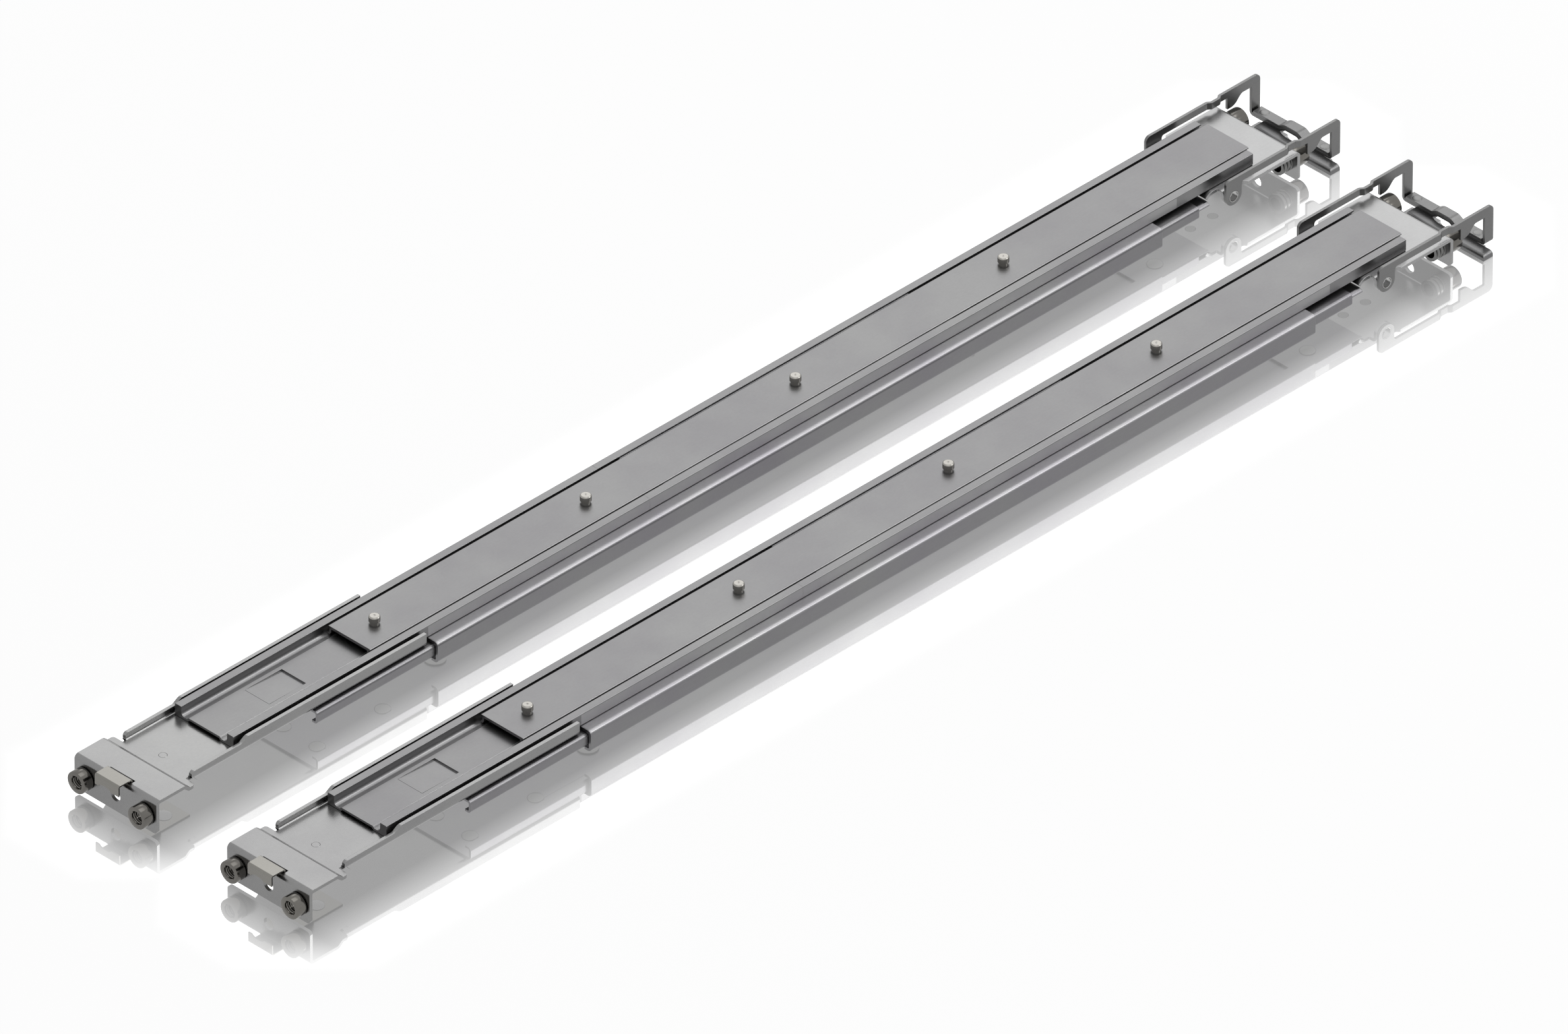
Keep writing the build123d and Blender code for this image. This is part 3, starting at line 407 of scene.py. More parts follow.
@dataclass(frozen=True)
class SheetPiece(Piece):
    """A bent, cut or roll-formed piece, with the small edge rounds that the press leaves.

    Attributes:
        edge: the width of the rounded edge, in metres.
    """

    edge: float = 0.16 * MM

    def shape(self, name: str) -> bpy.types.Mesh:
        """The node's faces, copied, merged and with their edges rounded."""
        mesh = self._clean_copy(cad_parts[name].data, f"{name}_draft")
        return rounded(mesh, f"{name}_sheet", self.edge)

    @staticmethod
    def _clean_copy(source: bpy.types.Mesh, name: str) -> bpy.types.Mesh:
        """A copy of loose triangles, merged, with flat regions made one face.

        Args:
            source: the node's mesh, which stays as it is.
            name: the copy's name.

        Returns:
            The merged copy.
        """
        work = bmesh.new()
        work.from_mesh(source)
        bmesh.ops.remove_doubles(work, verts=work.verts, dist=MERGE_DISTANCE)
        bmesh.ops.dissolve_limit(work, angle_limit=math.radians(FLAT_ANGLE), verts=work.verts,
                                 edges=work.edges)
        mesh = bpy.data.meshes.new(name)
        work.to_mesh(mesh)
        work.free()
        return mesh


class ShapeTree:
    """A Geometry Nodes tree with named inputs that makes one piece out of nothing."""

    def __init__(self, name: str, material: bpy.types.Material) -> None:
        """Start a tree with its output.

        Args:
            name: the tree's name.
            material: what its faces wear.
        """
        self.tree = bpy.data.node_groups.new(name, "GeometryNodeTree")
        self.tree.interface.new_socket("Geometry", in_out="OUTPUT", socket_type="NodeSocketGeometry")
        self.group_in = self.tree.nodes.new("NodeGroupInput")
        self.group_out = self.tree.nodes.new("NodeGroupOutput")
        self.material = material
        self.values: dict[str, Any] = {}

    def number(self, name: str, value: Any, kind: str = "NodeSocketFloat") -> bpy.types.NodeSocket:
        """Add a named input and remember its value."""
        self.tree.interface.new_socket(name, in_out="INPUT", socket_type=kind)
        self.values[name] = value
        return self.group_in.outputs[name]

    def node(self, kind: str, settings: dict[str, Any], sockets: dict[Any, Any]) -> bpy.types.NodeSocket:
        """Make a node, set it up and connect it.

        Args:
            kind: the node's type.
            settings: its own settings.
            sockets: values or sockets for its inputs, by name or index; a list fills a multiple input.

        Returns:
            Its first output.
        """
        made = self.tree.nodes.new(kind)
        for name, setting in settings.items():
            setattr(made, name, setting)
        for name, value in sockets.items():
            for one in value if isinstance(value, list) else [value]:
                if isinstance(one, bpy.types.NodeSocket):
                    self.tree.links.new(one, made.inputs[name])
                else:
                    made.inputs[name].default_value = one
        return made.outputs[0]

    def minus(self, first: Any, second: Any) -> bpy.types.NodeSocket:
        """The difference of two numbers."""
        return self.node("ShaderNodeMath", {"operation": "SUBTRACT"}, {0: first, 1: second})

    def at_height(self, height: Any) -> bpy.types.NodeSocket:
        """A vector along Z."""
        return self.node("ShaderNodeCombineXYZ", {}, {"Z": height})

    def set_at(self, shape: Any, place: Any, turn: Any = (0.0, 0.0, 0.0)) -> bpy.types.NodeSocket:
        """A shape turned about the origin and then moved to a place."""
        return self.node("GeometryNodeTransform", {}, {
            "Geometry": shape, "Translation": place, "Rotation": turn})

    def finish(self, shape: bpy.types.NodeSocket) -> None:
        """Make the shape real, dress it and lead it to the output."""
        real = self.node("GeometryNodeRealizeInstances", {}, {"Geometry": shape})
        worn = self.node("GeometryNodeSetMaterial", {}, {
            "Geometry": real, "Material": self.material})
        self.tree.links.new(worn, self.group_out.inputs[0])

    def grow(self, name: str) -> bpy.types.Mesh:
        """Run the tree on an empty object and keep the plain mesh.

        Args:
            name: the mesh's name.

        Returns:
            The mesh, in the frame's place.
        """
        carrier = added("carrier", bpy.data.meshes.new("carrier"))
        modifier = carrier.modifiers.new("shape", "NODES")
        modifier.node_group = self.tree
        for item in self.tree.interface.items_tree:
            if item.item_type == "SOCKET" and item.in_out == "INPUT":
                modifier[item.identifier] = self.values[item.name]
        carrier.update_tag()
        depsgraph = bpy.context.evaluated_depsgraph_get()
        mesh = bpy.data.meshes.new_from_object(carrier.evaluated_get(depsgraph))
        mesh.name = name
        bpy.data.objects.remove(carrier)
        return mesh


@dataclass(frozen=True)
class Corner:
    """One corner of half a rolled profile, in millimetres.

    Attributes:
        name: what it is, in a maker's words.
        across: its distance from the rail's middle plane.
        height: its height above the floor.
        radius: its round, or 0 for a sharp corner.
    """

    name: str
    across: float
    height: float
    radius: float = 0.0


class RollingTree(ShapeTree):
    """A Geometry Nodes tree that rolls runs of one symmetric profile along X."""

    def run(self, mark: str, corners: tuple[Corner, ...], start: Any, length: Any) -> bpy.types.NodeSocket:
        """One straight run of a profile.

        Args:
            mark: a word that tells the run's inputs apart.
            corners: half the profile, from the middle plane round to the middle plane.
            start: where the run starts along X.
            length: how long it is.

        Returns:
            The closed run.
        """
        half = [tuple(self.number(f"{mark} {corner.name} {what}", size * MM) for what, size in (
                    ("across", corner.across), ("height", corner.height), ("round", corner.radius)))
                for corner in corners]
        ring = half + [(self.minus(0.0, across), height, radius) for across, height, radius in reversed(half)]
        places = [self.node("ShaderNodeCombineXYZ", {}, {"X": across, "Y": height})
                  for across, height, _ in ring]
        line = self.node("GeometryNodeMeshLine", {}, {"Count": len(ring)})
        kept = self.node("GeometryNodeStoreNamedAttribute", {"domain": "POINT"}, {
            "Geometry": line, "Name": "corner_round",
            "Value": self.chosen("FLOAT", [radius for _, _, radius in ring])})
        laid = self.node("GeometryNodeSetPosition", {}, {
            "Geometry": kept, "Position": self.chosen("VECTOR", places)})
        curve = self.node("GeometryNodeMeshToCurve", {}, {"Mesh": laid})
        closed = self.node("GeometryNodeSetSplineCyclic", {}, {"Geometry": curve, "Cyclic": True})
        radius = self.node("GeometryNodeInputNamedAttribute", {"data_type": "FLOAT"},
                           {"Name": "corner_round"})
        smooth = self.node("GeometryNodeFilletCurve", {"mode": "POLY"}, {
            "Curve": closed, "Count": FILLET_STEPS, "Radius": radius})
        face = self.node("GeometryNodeFillCurve", {"mode": "NGONS"}, {"Curve": smooth})
        drawn = self.node("GeometryNodeExtrudeMesh", {"mode": "FACES"}, {
            "Mesh": face, "Offset": self.at_height(1.0), "Offset Scale": length,
            "Individual": False})
        foot = self.node("GeometryNodeFlipFaces", {}, {"Mesh": face})
        joined = self.node("GeometryNodeJoinGeometry", {}, {"Geometry": [drawn, foot]})
        merged = self.node("GeometryNodeMergeByDistance", {}, {
            "Geometry": joined, "Distance": MERGE_DISTANCE})
        place = self.node("ShaderNodeCombineXYZ", {}, {"X": start})
        return self.set_at(merged, place, (math.pi / 2, 0.0, math.pi / 2))

    def chosen(self, kind: str, values: list[bpy.types.NodeSocket]) -> bpy.types.NodeSocket:
        """Each point's own value out of a list, by its index.

        Args:
            kind: the values' data type.
            values: one socket for each point.

        Returns:
            The field.
        """
        index = self.node("GeometryNodeInputIndex", {}, {})
        switch = self.node("GeometryNodeIndexSwitch", {"data_type": kind}, {}).node
        while len(switch.index_switch_items) < len(values):
            switch.index_switch_items.new()
        self.tree.links.new(index, switch.inputs[0])
        for place, value in enumerate(values):
            self.tree.links.new(value, switch.inputs[place + 1])
        return switch.outputs[0]

    def ramp_cut(self, body: bpy.types.NodeSocket, start: float, length: float, width: float,
                 depth: float, top: float) -> bpy.types.NodeSocket:
        """Cut a shallow wedge that deepens to the front out of a flat top.

        Args:
            body: what it is cut out of.
            start: where it starts along X, in millimetres.
            length: its length.
            width: its width.
            depth: its depth at the end.
            top: the height of the flat top.

        Returns:
            The cut body.
        """
        long = self.number("Ramp length", length * MM)
        box = self.node("GeometryNodeMeshCube", {}, {"Size": self.node("ShaderNodeCombineXYZ", {}, {
            "X": long, "Y": self.number("Ramp width", width * MM), "Z": 2 * MM})})
        lifted = self.set_at(box, (length * MM / 2, 0.0, MM))
        tilted = self.set_at(lifted, (start * MM, 0.0, top * MM), (0.0, math.atan2(depth, length), 0.0))
        return self.node("GeometryNodeMeshBoolean", {"operation": "DIFFERENCE", "solver": "EXACT"}, {
            "Mesh 1": body, "Mesh 2": tilted})


@dataclass(frozen=True)
class RolledPiece(Piece):
    """A long rolled member: the slide's outer or inner rail.

    Attributes:
        runs: (mark, half profile, length in millimetres) from the rear end to the front.
        ramp: the stop ramp's start after the rear end, length, width, depth and top, or nothing.
        edge: the width of the rounded ends, in metres.
    """

    runs: tuple[tuple[str, tuple[Corner, ...], float], ...]
    ramp: tuple[float, ...] = ()
    edge: float = 0.07 * MM

    def shape(self, name: str) -> bpy.types.Mesh:
        """The member's runs, rolled one after the other from its rear end."""
        low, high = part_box(name)
        tree = RollingTree(name, self.finish.material())
        shapes, start = [], 0.0
        for mark, corners, length in self.runs:
            shapes.append(tree.run(mark, corners, tree.number(f"{mark} start", start * MM),
                                   tree.number(f"{mark} length", length * MM)))
            start += length
        if self.ramp:
            shapes[0] = tree.ramp_cut(shapes[0], *self.ramp)
        joined = tree.node("GeometryNodeJoinGeometry", {}, {"Geometry": shapes})
        placed = tree.set_at(joined, tree.number(
            "Rear end", (low.x, (low.y + high.y) / 2, 0.0), "NodeSocketVector"))
        tree.finish(placed)
        return rounded(tree.grow(f"{name}_draft"), f"{name}_rolled", self.edge)


class TurningTree(ShapeTree):
    """A Geometry Nodes tree that turns one profile and sets copies of it on a grid."""

    def run(self, rings: list[tuple[Any, Any, bool]], index: int, segments: Any) -> bpy.types.NodeSocket:
        """The turned faces between one ring and the next.

        Args:
            rings: (radius socket, height socket, whether the outline falls after it).
            index: which run.
            segments: how many faces go round.

        Returns:
            The run's geometry.
        """
        radius, height, falls = rings[index]
        next_radius, next_height, _ = rings[index + 1]
        low, high = ((next_radius, next_height), (radius, height)) if falls else (
            (radius, height), (next_radius, next_height))
        cone = self.node("GeometryNodeMeshCone", {"fill_type": "NONE"},
                         {"Vertices": segments, "Side Segments": 1, "Radius Top": high[0],
                          "Radius Bottom": low[0], "Depth": self.minus(high[1], low[1])})
        moved = self.set_at(cone, self.at_height(low[1]))
        if not falls:
            return moved
        return self.node("GeometryNodeFlipFaces", {}, {"Mesh": moved})

    def close(self, shape: bpy.types.NodeSocket, centre: Vector, counts: tuple[int, int],
              pitches: tuple[float, float], turn: tuple[float, float, float]) -> None:
        """Set copies of the shape on a grid and finish the tree.

        Args:
            shape: one piece on the turning axis.
            centre: the middle of the grid.
            counts: how many copies along X and along Y.
            pitches: their distances along X and along Y.
            turn: the turn of each copy.
        """
        sizes = [pitch * (count - 1) for pitch, count in zip(pitches, counts)]
        grid = self.node("GeometryNodeMeshGrid", {}, {
            "Size X": self.number("Row length", sizes[0]), "Size Y": self.number("Row distance", sizes[1]),
            "Vertices X": self.number("Pieces in a row", counts[0], "NodeSocketInt"),
            "Vertices Y": self.number("Rows", counts[1], "NodeSocketInt")})
        placed = self.set_at(grid, self.number("Middle of the rows", tuple(centre), "NodeSocketVector"))
        copies = self.node("GeometryNodeInstanceOnPoints", {}, {
            "Points": placed, "Instance": shape, "Rotation": turn})
        self.finish(copies)


@dataclass(frozen=True)
class Ring:
    """One corner of a turned profile.

    Attributes:
        name: what it is, in a maker's words.
        radius: from the axis, in millimetres.
        height: along the axis from the piece's foot, in millimetres.
    """

    name: str
    radius: float
    height: float


@dataclass(frozen=True)
class TurnedSet(Piece):
    """Alike turned pieces in one node: posts, studs, rings, rivets or eyelets.

    Attributes:
        way: which way each points.
        rings: the profile from foot to tip, and back down the bore if it has one.
        counts: how many along X and along Y.
        segments: faces round the axis.
        thread_pitch: the pitch of a thread in the bore in millimetres, or 0 for none.
        mark: a word that tells two sets of one node apart.
        only_side: -1 or 1 where just the pieces at that end of Y are in the set.
    """

    way: Way
    rings: tuple[Ring, ...]
    counts: tuple[int, int] = (1, 1)
    segments: int = 48
    thread_pitch: float = 0.0
    mark: str = "turned"
    only_side: int = 0

    def shape(self, name: str) -> bpy.types.Mesh:
        """One piece, turned, and its copies on their grid."""
        tree = TurningTree(f"{name}_{self.mark}", self.finish.material())
        segments = tree.number("Faces round", self.segments, "NodeSocketInt")
        corners = [(tree.number(f"{ring.name} radius", ring.radius * MM),
                    tree.number(f"{ring.name} height", ring.height * MM),
                    after.height < ring.height)
                   for ring, after in zip(self.rings, self.rings[1:] + self.rings[-1:])]
        runs = [tree.run(corners, index, segments) for index in range(len(corners) - 1)]
        if self.thread_pitch:
            runs.append(self._thread(tree))
        joined = tree.node("GeometryNodeJoinGeometry", {}, {"Geometry": runs})
        merged = tree.node("GeometryNodeMergeByDistance", {}, {
            "Geometry": joined, "Distance": 2 * MERGE_DISTANCE})
        centre, pitches = self._grid(name)
        tree.close(merged, centre, self.counts, pitches, self.way.turn)
        mesh = tree.grow(f"{name}_{self.mark}")
        settle(mesh, TURNED_SHARP)
        return mesh

    def _grid(self, name: str) -> tuple[Vector, tuple[float, float]]:
        """Where the set's feet are, from the node's box.

        Args:
            name: the node's full name.

        Returns:
            The middle of the grid, and the distances along X and along Y.
        """
        low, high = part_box(name)
        middle = (low + high) / 2
        length = max(ring.height for ring in self.rings) * MM
        width = 2 * max(ring.radius for ring in self.rings) * MM
        tip = high if self.way.sign > 0 else low
        middle[self.way.axis] = tip[self.way.axis] - self.way.sign * length
        if self.only_side:
            middle.y = (high if self.only_side > 0 else low).y - self.only_side * width / 2
        extent = high - low
        pitches = tuple((extent[axis] - width) / max(count - 1, 1) for axis, count in enumerate(self.counts))
        return middle, pitches

    def _thread(self, tree: TurningTree) -> bpy.types.NodeSocket:
        """A helix of thread crests inside the bore.

        Args:
            tree: the set's tree.

        Returns:
            The helix.
        """
        bore = min(ring.radius for ring in self.rings)
        length = max(ring.height for ring in self.rings)
        turns = length / self.thread_pitch - 1
        helix = tree.node("GeometryNodeCurveSpiral", {}, {
            "Resolution": 24, "Rotations": tree.number("Thread turns", turns),
            "Start Radius": tree.number("Thread radius", bore * MM), "End Radius": bore * MM,
            "Height": tree.number("Thread length", (length - self.thread_pitch) * MM)})
        crest = tree.node("GeometryNodeCurvePrimitiveCircle", {"mode": "RADIUS"}, {
            "Resolution": 4, "Radius": tree.number("Thread crest", self.thread_pitch * 0.34 * MM)})
        swept = tree.node("GeometryNodeCurveToMesh", {}, {
            "Curve": helix, "Profile Curve": crest, "Fill Caps": True})
        return tree.set_at(swept, tree.at_height(self.thread_pitch * 0.5 * MM))


@dataclass(frozen=True)
class HollowPost:
    """A hollow guide post, in millimetres.

    Attributes:
        length: from foot to tip.
        shank: the radius in the plate.
        seat: how far the shank goes through the plate and its groove.
        flange: the post's radius.
        chamfer: the tip's chamfer.
        bore: the bore's radius.
        lead: the bore's lead in.
        shoulder: the round of the shoulder.
    """

    length: float
    shank: float = 3.6
    seat: float = 1.85
    flange: float = 4.65
    chamfer: float = 0.35
    bore: float = 2.7
    lead: float = 0.3
    shoulder: float = 0.15

    def rings(self) -> tuple[Ring, ...]:
        """The profile, from the bore's foot round the outside and back down the bore."""
        mouth, part = self.bore + self.lead, self.chamfer * 0.3
        return (
            Ring("Bore foot", self.bore, self.lead), Ring("Bore lead in", mouth, 0.0),
            Ring("Shank foot", self.shank, 0.0), Ring("Shank top", self.shank, self.seat),
            Ring("Shoulder edge", self.flange - self.shoulder, self.seat),
            Ring("Shoulder", self.flange, self.seat + self.shoulder),
            Ring("Land", self.flange, self.length - self.chamfer),
            Ring("Tip round", self.flange - part, self.length - part),
            Ring("Tip", self.flange - self.chamfer, self.length), Ring("Bore mouth", mouth, self.length),
            Ring("Bore tip", self.bore, self.length - self.lead), Ring("Bore end", self.bore, self.lead))


def dome_rings(grip: float, shank: float = 2.0, head: float = 3.2, rise: float = 0.9) -> tuple[Ring, ...]:
    """The profile of a domed rivet, from its flush end to the crown.

    Args:
        grip: the thickness that it holds.
        shank: the shank's radius.
        head: the head's radius.
        rise: the head's height.

    Returns:
        The rings.
    """
    brim = 0.12
    turns = [math.radians(15 * step) for step in range(1, 6)]
    dome = [Ring(f"Dome {step}", head * math.cos(turn), grip + rise * (brim + (1 - brim) * math.sin(turn)))
            for step, turn in enumerate(turns, 1)]
    return (Ring("Foot middle", 0.0, 0.0), Ring("Foot", shank - 0.1, 0.0), Ring("Foot round", shank, 0.1),
            Ring("Neck", shank, grip), Ring("Head seat", head - 0.05, grip),
            Ring("Head edge", head, grip + rise * brim), *dome, Ring("Crown", 0.0, grip + rise))


def rib_rings(bore: float, outside: float, length: float, ribs: int, land: float,
              depth: float) -> tuple[Ring, ...]:
    """The profile of a ribbed lock ring, ribs counted from its plate end at the tip.

    Args:
        bore: the bore's radius.
        outside: the ribs' radius.
        length: the ring's length.
        ribs: how many ribs.
        land: a rib's flat length.
        depth: a groove's depth.

    Returns:
        The rings.
    """
    pitch = length / ribs
    found = [Ring("Bore foot", bore, 0.0), Ring("Foot", outside, 0.0)]
    for rib in range(ribs):
        low = rib * pitch
        found += [Ring(f"Groove {rib}", outside - depth, low + (pitch - land) / 2),
                  Ring(f"Land start {rib}", outside, low + pitch - land),
                  Ring(f"Land end {rib}", outside, low + pitch)]
    return (*found, Ring("Bore tip", bore, length), Ring("Bore end", bore, 0.0))


STUD = (Ring("Tail middle", 0.0, 0.0), Ring("Tail edge", 2.1, 0.0), Ring("Tail side", 2.3, 0.15),
        Ring("Tail top", 2.3, 0.5), Ring("Tail neck foot", 1.5, 0.5), Ring("Tail neck top", 1.5, 1.7),
        Ring("Neck foot", 1.8, 1.7), Ring("Neck top", 1.8, 2.6), Ring("Crown seat", 2.15, 2.6),
        Ring("Crown foot", 2.25, 2.7), Ring("Crown side", 2.25, 4.55), Ring("Crown round low", 2.17, 4.8),
        Ring("Crown round high", 1.95, 4.98), Ring("Crown edge", 1.7, 5.05), Ring("Dimple edge", 0.55, 5.05),
        Ring("Dimple", 0.25, 4.95), Ring("Dimple middle", 0.0, 4.93))
EYELET = (Ring("Bore foot", 2.2, 0.0), Ring("Foot", 2.35, 0.0), Ring("Rim side", 2.35, 2.7),
          Ring("Rim", 2.3, 2.8), Ring("Bore tip", 2.1, 2.75), Ring("Bore end", 2.2, 0.0))
GUIDE_RIVET = (Ring("Neck middle", 0.0, 0.0), Ring("Neck edge", 1.8, 0.0), Ring("Neck", 1.8, 1.3),
               Ring("Shoulder seat", 2.3, 1.3), Ring("Shoulder", 2.3, 2.6), Ring("Head seat", 4.15, 2.6),
               Ring("Head edge", 4.25, 2.7), Ring("Head side", 4.25, 3.1), Ring("Head round", 3.75, 3.45),
               Ring("Head slope", 2.83, 3.6), Ring("Head middle", 0.0, 3.6))


OUTER_FOOT = (Corner("Web under", 7.725, 15.6), Corner("Web foot", 8.525, 14.8),
              Corner("Foot", 15.4, 14.8, 0.3), Corner("Top outside", 15.4, 19.9, 0.35))
OUTER_WEB = (Corner("Web slope", 9.0, 15.75, 0.3), Corner("Web top", 8.2, 16.55, 0.2))
OUTER_PLAIN = (*OUTER_FOOT, Corner("Top inside", 12.05, 19.9, 0.25), Corner("Trough", 12.05, 15.75, 1.8),
               *OUTER_WEB)
OUTER_RACE = (*OUTER_FOOT, Corner("Top inside", 12.05, 19.9, 0.2), Corner("Race top", 12.05, 19.2),
              Corner("Race high", 12.9, 18.65, 0.6), Corner("Race low", 12.9, 17.25, 0.6),
              Corner("Race foot", 12.05, 16.7), Corner("Trough", 12.05, 15.75, 0.4), *OUTER_WEB)
INNER_RACE = (Corner("Top inside", 9.45, 18.6, 0.2), Corner("Bulge high", 9.45, 17.3, 0.4),
              Corner("Bulge low", 10.0, 16.5, 0.3), Corner("Foot inside", 10.0, 16.1),
              Corner("Foot outside", 11.2, 16.1), Corner("Race foot", 11.2, 16.7),
              Corner("Race low", 10.35, 17.25, 0.6), Corner("Race high", 10.35, 18.65, 0.6),
              Corner("Race top", 11.2, 19.15), Corner("Top outside", 11.2, 19.8, 0.65))


@dataclass(frozen=True)
class BallSet(Piece):
    """The balls of one rail, in two rows.

    Attributes:
        diameter: a ball's diameter in millimetres.
        row: balls in a row.
    """

    diameter: float = 2.4
    row: int = 12

    def shape(self, name: str) -> bpy.types.Mesh:
        """The balls in their rows."""
        tree = TurningTree(name, self.finish.material())
        ball = tree.node("GeometryNodeMeshIcoSphere", {}, {
            "Radius": tree.number("Ball radius", self.diameter * MM / 2), "Subdivisions": 3})
        low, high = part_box(name)
        extent = high - low
        pitches = ((extent.x - self.diameter * MM) / (self.row - 1), extent.y - self.diameter * MM)
        tree.close(ball, (low + high) / 2, (self.row, 2), pitches, (0.0, 0.0, 0.0))
        mesh = tree.grow(f"{name}_set")
        settle(mesh, ALL_SMOOTH)
        return mesh


@dataclass
class RearEnd:
    """What telescopes to the rear: bracket, posts, hook clip, channel and stop plate."""

    post: HollowPost = HollowPost(6.3)
    thread_pitch: float = 0.8

    def pieces(self) -> Iterator[Piece]:
        """The rear end's pieces."""
        yield SheetPiece("rear_bracket", Body.EXTENSION, ZINC_BRACKET, 0.1 * MM)
        yield SheetPiece("rear_hook_clip", Body.CLIP, SPRING_SHEET, 0.08 * MM)
        yield SheetPiece("rear_clip_root", Body.EXTENSION, SPRING_SHEET, 0.08 * MM)
        yield SheetPiece("rear_extension_channel", Body.EXTENSION, ZINC_CHANNEL, 0.14 * MM)
        yield SheetPiece("extension_stop", Body.EXTENSION, ZINC_CHANNEL, 0.14 * MM)
        yield TurnedSet("rear_guide_posts", Body.EXTENSION, DARK_POST, Way.REAR, self.post.rings(),
                        (1, 2), 72, self.thread_pitch)
        yield TurnedSet("rear_clip_rivet", Body.EXTENSION, FLUSH_RIVET, Way.DOWN,
                        dome_rings(2.1, shank=1.6))
        yield TurnedSet("rear_rivets", Body.EXTENSION, RIVET_STEEL, Way.DOWN, dome_rings(2.5), (2, 2))
        yield TurnedSet("extension_stop_rivets", Body.EXTENSION, RIVET_STEEL, Way.DOWN, dome_rings(2.0),
                        (1, 2))


@dataclass
class SlideBody:
    """The fixed channel and outer member, and the inner member that slides in them."""

    plain_run: float = 216.3
    race_run: float = 319.3
    inner_run: float = 462.6
    stop_ramp: tuple[float, ...] = (27.3, 19.0, 12.8, 0.7, 16.55)

    def pieces(self) -> Iterator[Piece]:
        """The slide's pieces."""
        yield SheetPiece("support_channel", Body.FIXED, ZINC_CHANNEL, 0.18 * MM)
        yield RolledPiece("slide_outer_member", Body.FIXED, ZINC_SLIDE,
                          (("Plain", OUTER_PLAIN, self.plain_run), ("Race", OUTER_RACE, self.race_run)),
                          self.stop_ramp)
        yield RolledPiece("slide_inner_member", Body.INNER, ZINC_SLIDE,
                          (("Inner", INNER_RACE, self.inner_run),))
        yield SheetPiece("ball_cages", Body.CAGE, CAGE_STRIP, 0.05 * MM)
        yield BallSet("slide_balls", Body.CAGE, BALL_STEEL)
        yield TurnedSet("mounting_studs", Body.INNER, BRIGHT_STUD, Way.UP, STUD, (4, 1), 56)
        yield TurnedSet("slide_rivets", Body.FIXED, RIVET_STEEL, Way.UP, dome_rings(3.15), (4, 1))
        yield TurnedSet("extension_guide_rivet", Body.FIXED, RIVET_STEEL, Way.DOWN, GUIDE_RIVET)


@dataclass
class FrontEnd:
    """The front bracket with its posts, and the latch that swings on its lugs."""

    post: HollowPost = HollowPost(7.7)
    thread_pitch: float = 0.8
    ring_radius: float = 4.0
    ring_length: float = 5.6
    ribs: int = 3
    rib_land: float = 1.0
    rib_depth: float = 0.7

    def pieces(self) -> Iterator[Piece]:
        """The front end's pieces."""
        yield SheetPiece("front_bracket", Body.FIXED, ZINC_FRONT, 0.18 * MM)
        yield SheetPiece("latch_frame", Body.LATCH, ZINC_LATCH, 0.12 * MM)
        yield SheetPiece("latch_grip_strip", Body.LATCH, ZINC_LATCH, 0.12 * MM)
        yield SheetPiece("latch_pull_plate", Body.LATCH, ZINC_PULL, 0.1 * MM)
        yield TurnedSet("front_guide_posts", Body.FIXED, DARK_POST, Way.FRONT, self.post.rings(),
                        (1, 2), 72, self.thread_pitch)
        yield TurnedSet("front_lock_rings", Body.FIXED, LOCK_RING, Way.FRONT,
                        rib_rings(self.post.bore, self.ring_radius, self.ring_length, self.ribs,
                                  self.rib_land, self.rib_depth), (1, 2), 64)
        yield TurnedSet("front_rivets", Body.FIXED, RIVET_STEEL, Way.UP, dome_rings(3.35), (2, 1))
        for way, mark in ((Way.OUT_LEFT, "left_side"), (Way.OUT_RIGHT, "right_side")):
            yield TurnedSet("latch_pivot_eyelets", Body.FIXED, EYELET_STEEL, way, EYELET, mark=mark)
        for grip, mark, end in ((2.4, "left_one", 1), (3.6, "right_one", -1)):
            yield TurnedSet("latch_rivets", Body.LATCH, RIVET_STEEL, Way.UP,
                            dome_rings(grip, 1.3, 1.95, 0.25), mark=mark, only_side=end)


@dataclass
class Rail:
    """One rail of the pair."""

    side: Side
    parts: tuple[RearEnd, SlideBody, FrontEnd] = field(
        default_factory=lambda: (RearEnd(), SlideBody(), FrontEnd()))

    def build(self) -> None:
        """Build every piece of the rail."""
        for part in self.parts:
            for piece in part.pieces():
                piece.build(self.side)


@dataclass
class Softbox:
    """A square lamp that looks at the middle of the pair.

    Attributes:
        name: the lamp's name.
        azimuth: where it stands, in degrees from -Y towards +X.
        elevation: its height in degrees.
        distance: how far it stands.
        size: its side.
        power: its power in watts.
    """

    name: str
    azimuth: float
    elevation: float
    distance: float
    size: float
    power: float

    def build(self) -> None:
        """Make the lamp."""
        data = bpy.data.lights.new(self.name, "AREA")
        data.shape = "SQUARE"
        data.size = self.size
        data.energy = self.power
        aimed(added(self.name, data), (self.azimuth, self.elevation), self.distance, Vector())


def aimed(made: bpy.types.Object, stand: tuple[float, float], distance: float, target: Vector) -> None:
    """Stand a lamp or the camera round a target and turn it there.

    Args:
        made: the lamp or camera.
        stand: its azimuth, from -Y towards +X, and its elevation, in degrees.
        distance: how far it stands from the target.
        target: what it looks at.
    """
    around, up = math.radians(stand[0]), math.radians(stand[1])
    back = Vector((math.sin(around) * math.cos(up), -math.cos(around) * math.cos(up), math.sin(up)))
    made.location = target + back * distance
    made.rotation_mode = "QUATERNION"
    made.rotation_quaternion = (-back).to_track_quat("-Z", "Y")


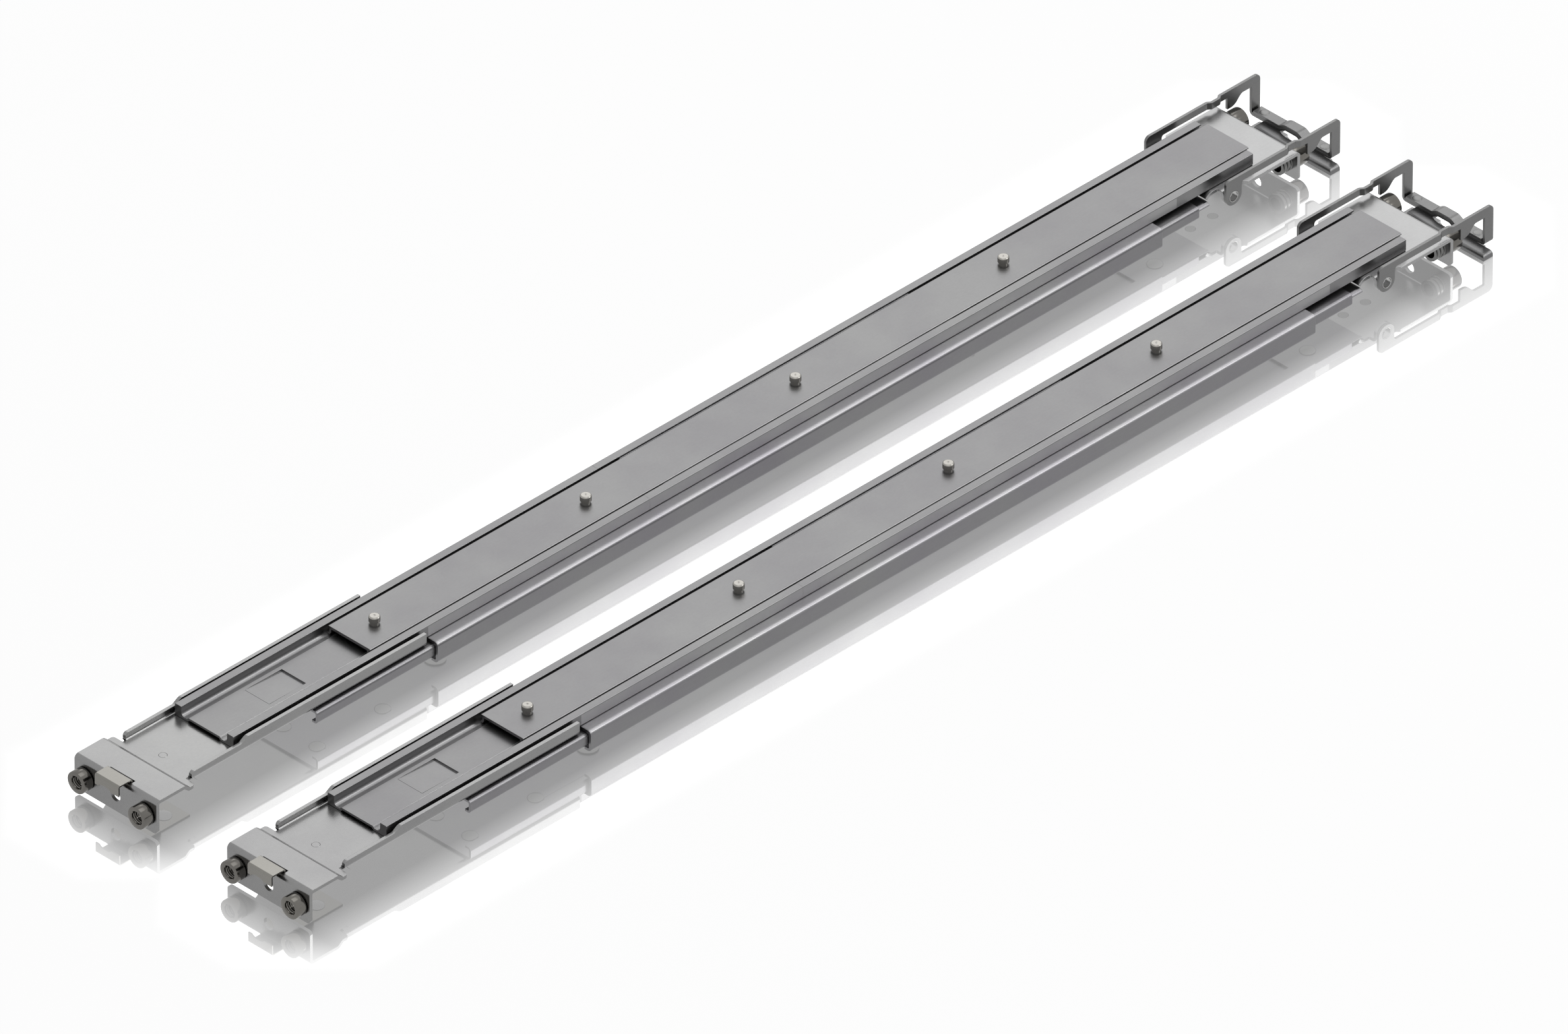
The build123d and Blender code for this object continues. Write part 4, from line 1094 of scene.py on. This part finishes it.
@dataclass
class Studio:
    """Camera, lamps, floor and world.

    Attributes:
        azimuth: the camera's stand, in degrees.
        elevation: its height, in degrees.
        lens: the focal length in millimetres, long enough to look parallel.
        sensor: the sensor's width in millimetres.
        view_width: how wide the picture is at the object.
        target: what the picture's middle looks at.
        mirror: how strongly the floor mirrors right beside a rail; its grey glossy floor there is also
            painted shade round the rail.
        mirror_reach: how far beside a rail the mirror image and its painted shade fade out.
        half_length: half the length of a rail.
        rail_half: half the width of a rail.
        floor_reach: half the floor's side.
        floor_drop: how far the floor lies under the rails.
        floor_white: the share of plain white in the floor where it is seen; the rest shows the shadow.
        sky_light: the world's strength where it only lights.
        lamps: the lamps.
    """

    azimuth: float = -45.0
    elevation: float = 35.04
    lens: float = 1000.0
    sensor: float = 36.0
    view_width: float = 0.5826
    target: Vector = field(default_factory=lambda: Vector((0.0004, 0.00345, 0.0)))
    mirror: float = 0.88
    mirror_reach: float = 0.042
    half_length: float = 0.31
    rail_half: float = 0.0195
    floor_reach: float = 30.0
    floor_drop: float = 0.05 * MM
    floor_white: float = 0.92
    sky_light: float = 0.45
    lamps: tuple[Softbox, ...] = (
        Softbox("back_softbox", 135, 35, 2.4, 1.3, 6),
        Softbox("streak_softbox", 83, 54, 2.2, 0.8, 4.5),
        Softbox("right_softbox", 45, 38, 2.2, 0.8, 9),
        Softbox("top_softbox", 0, 88, 2.6, 1.6, 8),
    )

    def camera(self) -> None:
        """Make the camera and make it the scene's."""
        data = bpy.data.cameras.new("camera")
        data.lens = self.lens
        data.sensor_width = self.sensor
        distance = self.view_width * self.lens / self.sensor
        data.clip_end = 2 * distance
        made = added("camera", data)
        aimed(made, (self.azimuth, self.elevation), distance, self.target)
        bpy.context.scene.camera = made

    def floor(self) -> None:
        """A pale glossy floor under the pair."""
        reach, drop = self.floor_reach, -self.floor_drop
        mesh = bpy.data.meshes.new("floor")
        mesh.from_pydata([(-reach, -reach, drop), (reach, -reach, drop), (reach, reach, drop),
                          (-reach, reach, drop)], [], [(0, 1, 2, 3)])
        made = added("floor", mesh)
        mesh.materials.append(self._floor_material())

    def _floor_material(self) -> bpy.types.Material:
        """White to the camera and to reflections, with a soft shadow, and a mirror image that fades, which
        also paints shade round the rails.
        """
        made = bpy.data.materials.new("pale_floor")
        graph = Graph(made)
        paint = graph.node("ShaderNodeBsdfDiffuse", {}, {"Color": (0.96, 0.96, 0.96, 1)})
        white = graph.node("ShaderNodeEmission", {}, {"Color": (1, 1, 1, 1), "Strength": 1.0})
        lit = graph.node("ShaderNodeMixShader", {},
                         {0: self._seen(graph) * self.floor_white, 1: paint, 2: white})
        glossy = graph.node("ShaderNodeBsdfGlossy", {}, {"Color": (0.8, 0.8, 0.8, 1), "Roughness": 0.03})
        camera = graph.node("ShaderNodeLightPath", {}, {}, "Is Camera Ray")
        # Painted shade: near the rails the grey mirror replaces the white floor, a soft halo that stands in
        # for the rails' shadow.
        both = graph.node("ShaderNodeMixShader", {}, {0: camera * self._mirror_and_painted_shade(graph), 1: lit, 2: glossy})
        graph.node("ShaderNodeOutputMaterial", {}, {"Surface": both})
        return made

    def _mirror_and_painted_shade(self, graph: Graph) -> Value:
        """The strength of the mirror image and of the painted shade round the rails, which falls with the
        distance from the nearest rail.

        Args:
            graph: the floor's tree.

        Returns:
            The strength, 0 to 1.
        """
        place = graph.node("ShaderNodeTexCoord", {}, {}, "Object")
        along, across = (graph.node("ShaderNodeSeparateXYZ", {}, {0: place}, axis) for axis in "XY")
        past_end = (abs(along) - self.half_length).larger(0.0)
        past_side = (abs(abs(across - PAIR_MIDDLE) - RAIL_PLACE) - self.rail_half).larger(0.0)
        return graph.node("ShaderNodeMapRange", {"interpolation_type": "SMOOTHSTEP"}, {
            "Value": past_end + past_side, "From Min": -0.3 * self.mirror_reach,
            "From Max": self.mirror_reach, "To Min": self.mirror, "To Max": 0.0})

    @staticmethod
    def _seen(graph: Graph) -> Value:
        """Which rays see the studio as a picture.

        Args:
            graph: the tree that asks.

        Returns:
            1 for rays from the camera, a mirror or glass, and 0 for the rest.
        """
        camera, glossy, clear = (graph.node("ShaderNodeLightPath", {}, {}, f"Is {kind} Ray")
                                 for kind in ("Camera", "Glossy", "Transmission"))
        return camera.larger(glossy).larger(clear)

    def world(self) -> None:
        """An even sky, white where it is seen."""
        world = bpy.data.worlds.new("sky")
        bpy.context.scene.world = world
        graph = Graph(world)
        dim = graph.node("ShaderNodeBackground", {}, {"Color": (1, 1, 1, 1), "Strength": self.sky_light})
        white = graph.node("ShaderNodeBackground", {}, {"Color": (1, 1, 1, 1), "Strength": 1.0})
        mixed = graph.node("ShaderNodeMixShader", {}, {0: self._seen(graph), 1: dim, 2: white})
        graph.node("ShaderNodeOutputWorld", {}, {"Surface": mixed})

    def build(self) -> None:
        """Make all that stands round the pair."""
        self.camera()
        self.floor()
        self.world()
        for lamp in self.lamps:
            lamp.build()
        bpy.context.scene.view_settings.view_transform = "Standard"


def main() -> None:
    """Build the studio and both rails."""
    logging.basicConfig(level=logging.INFO)
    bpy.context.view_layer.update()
    Studio().build()
    for side in Side:
        Rail(side).build()
    bpy.context.view_layer.update()


if __name__ == "__main__":
    main()
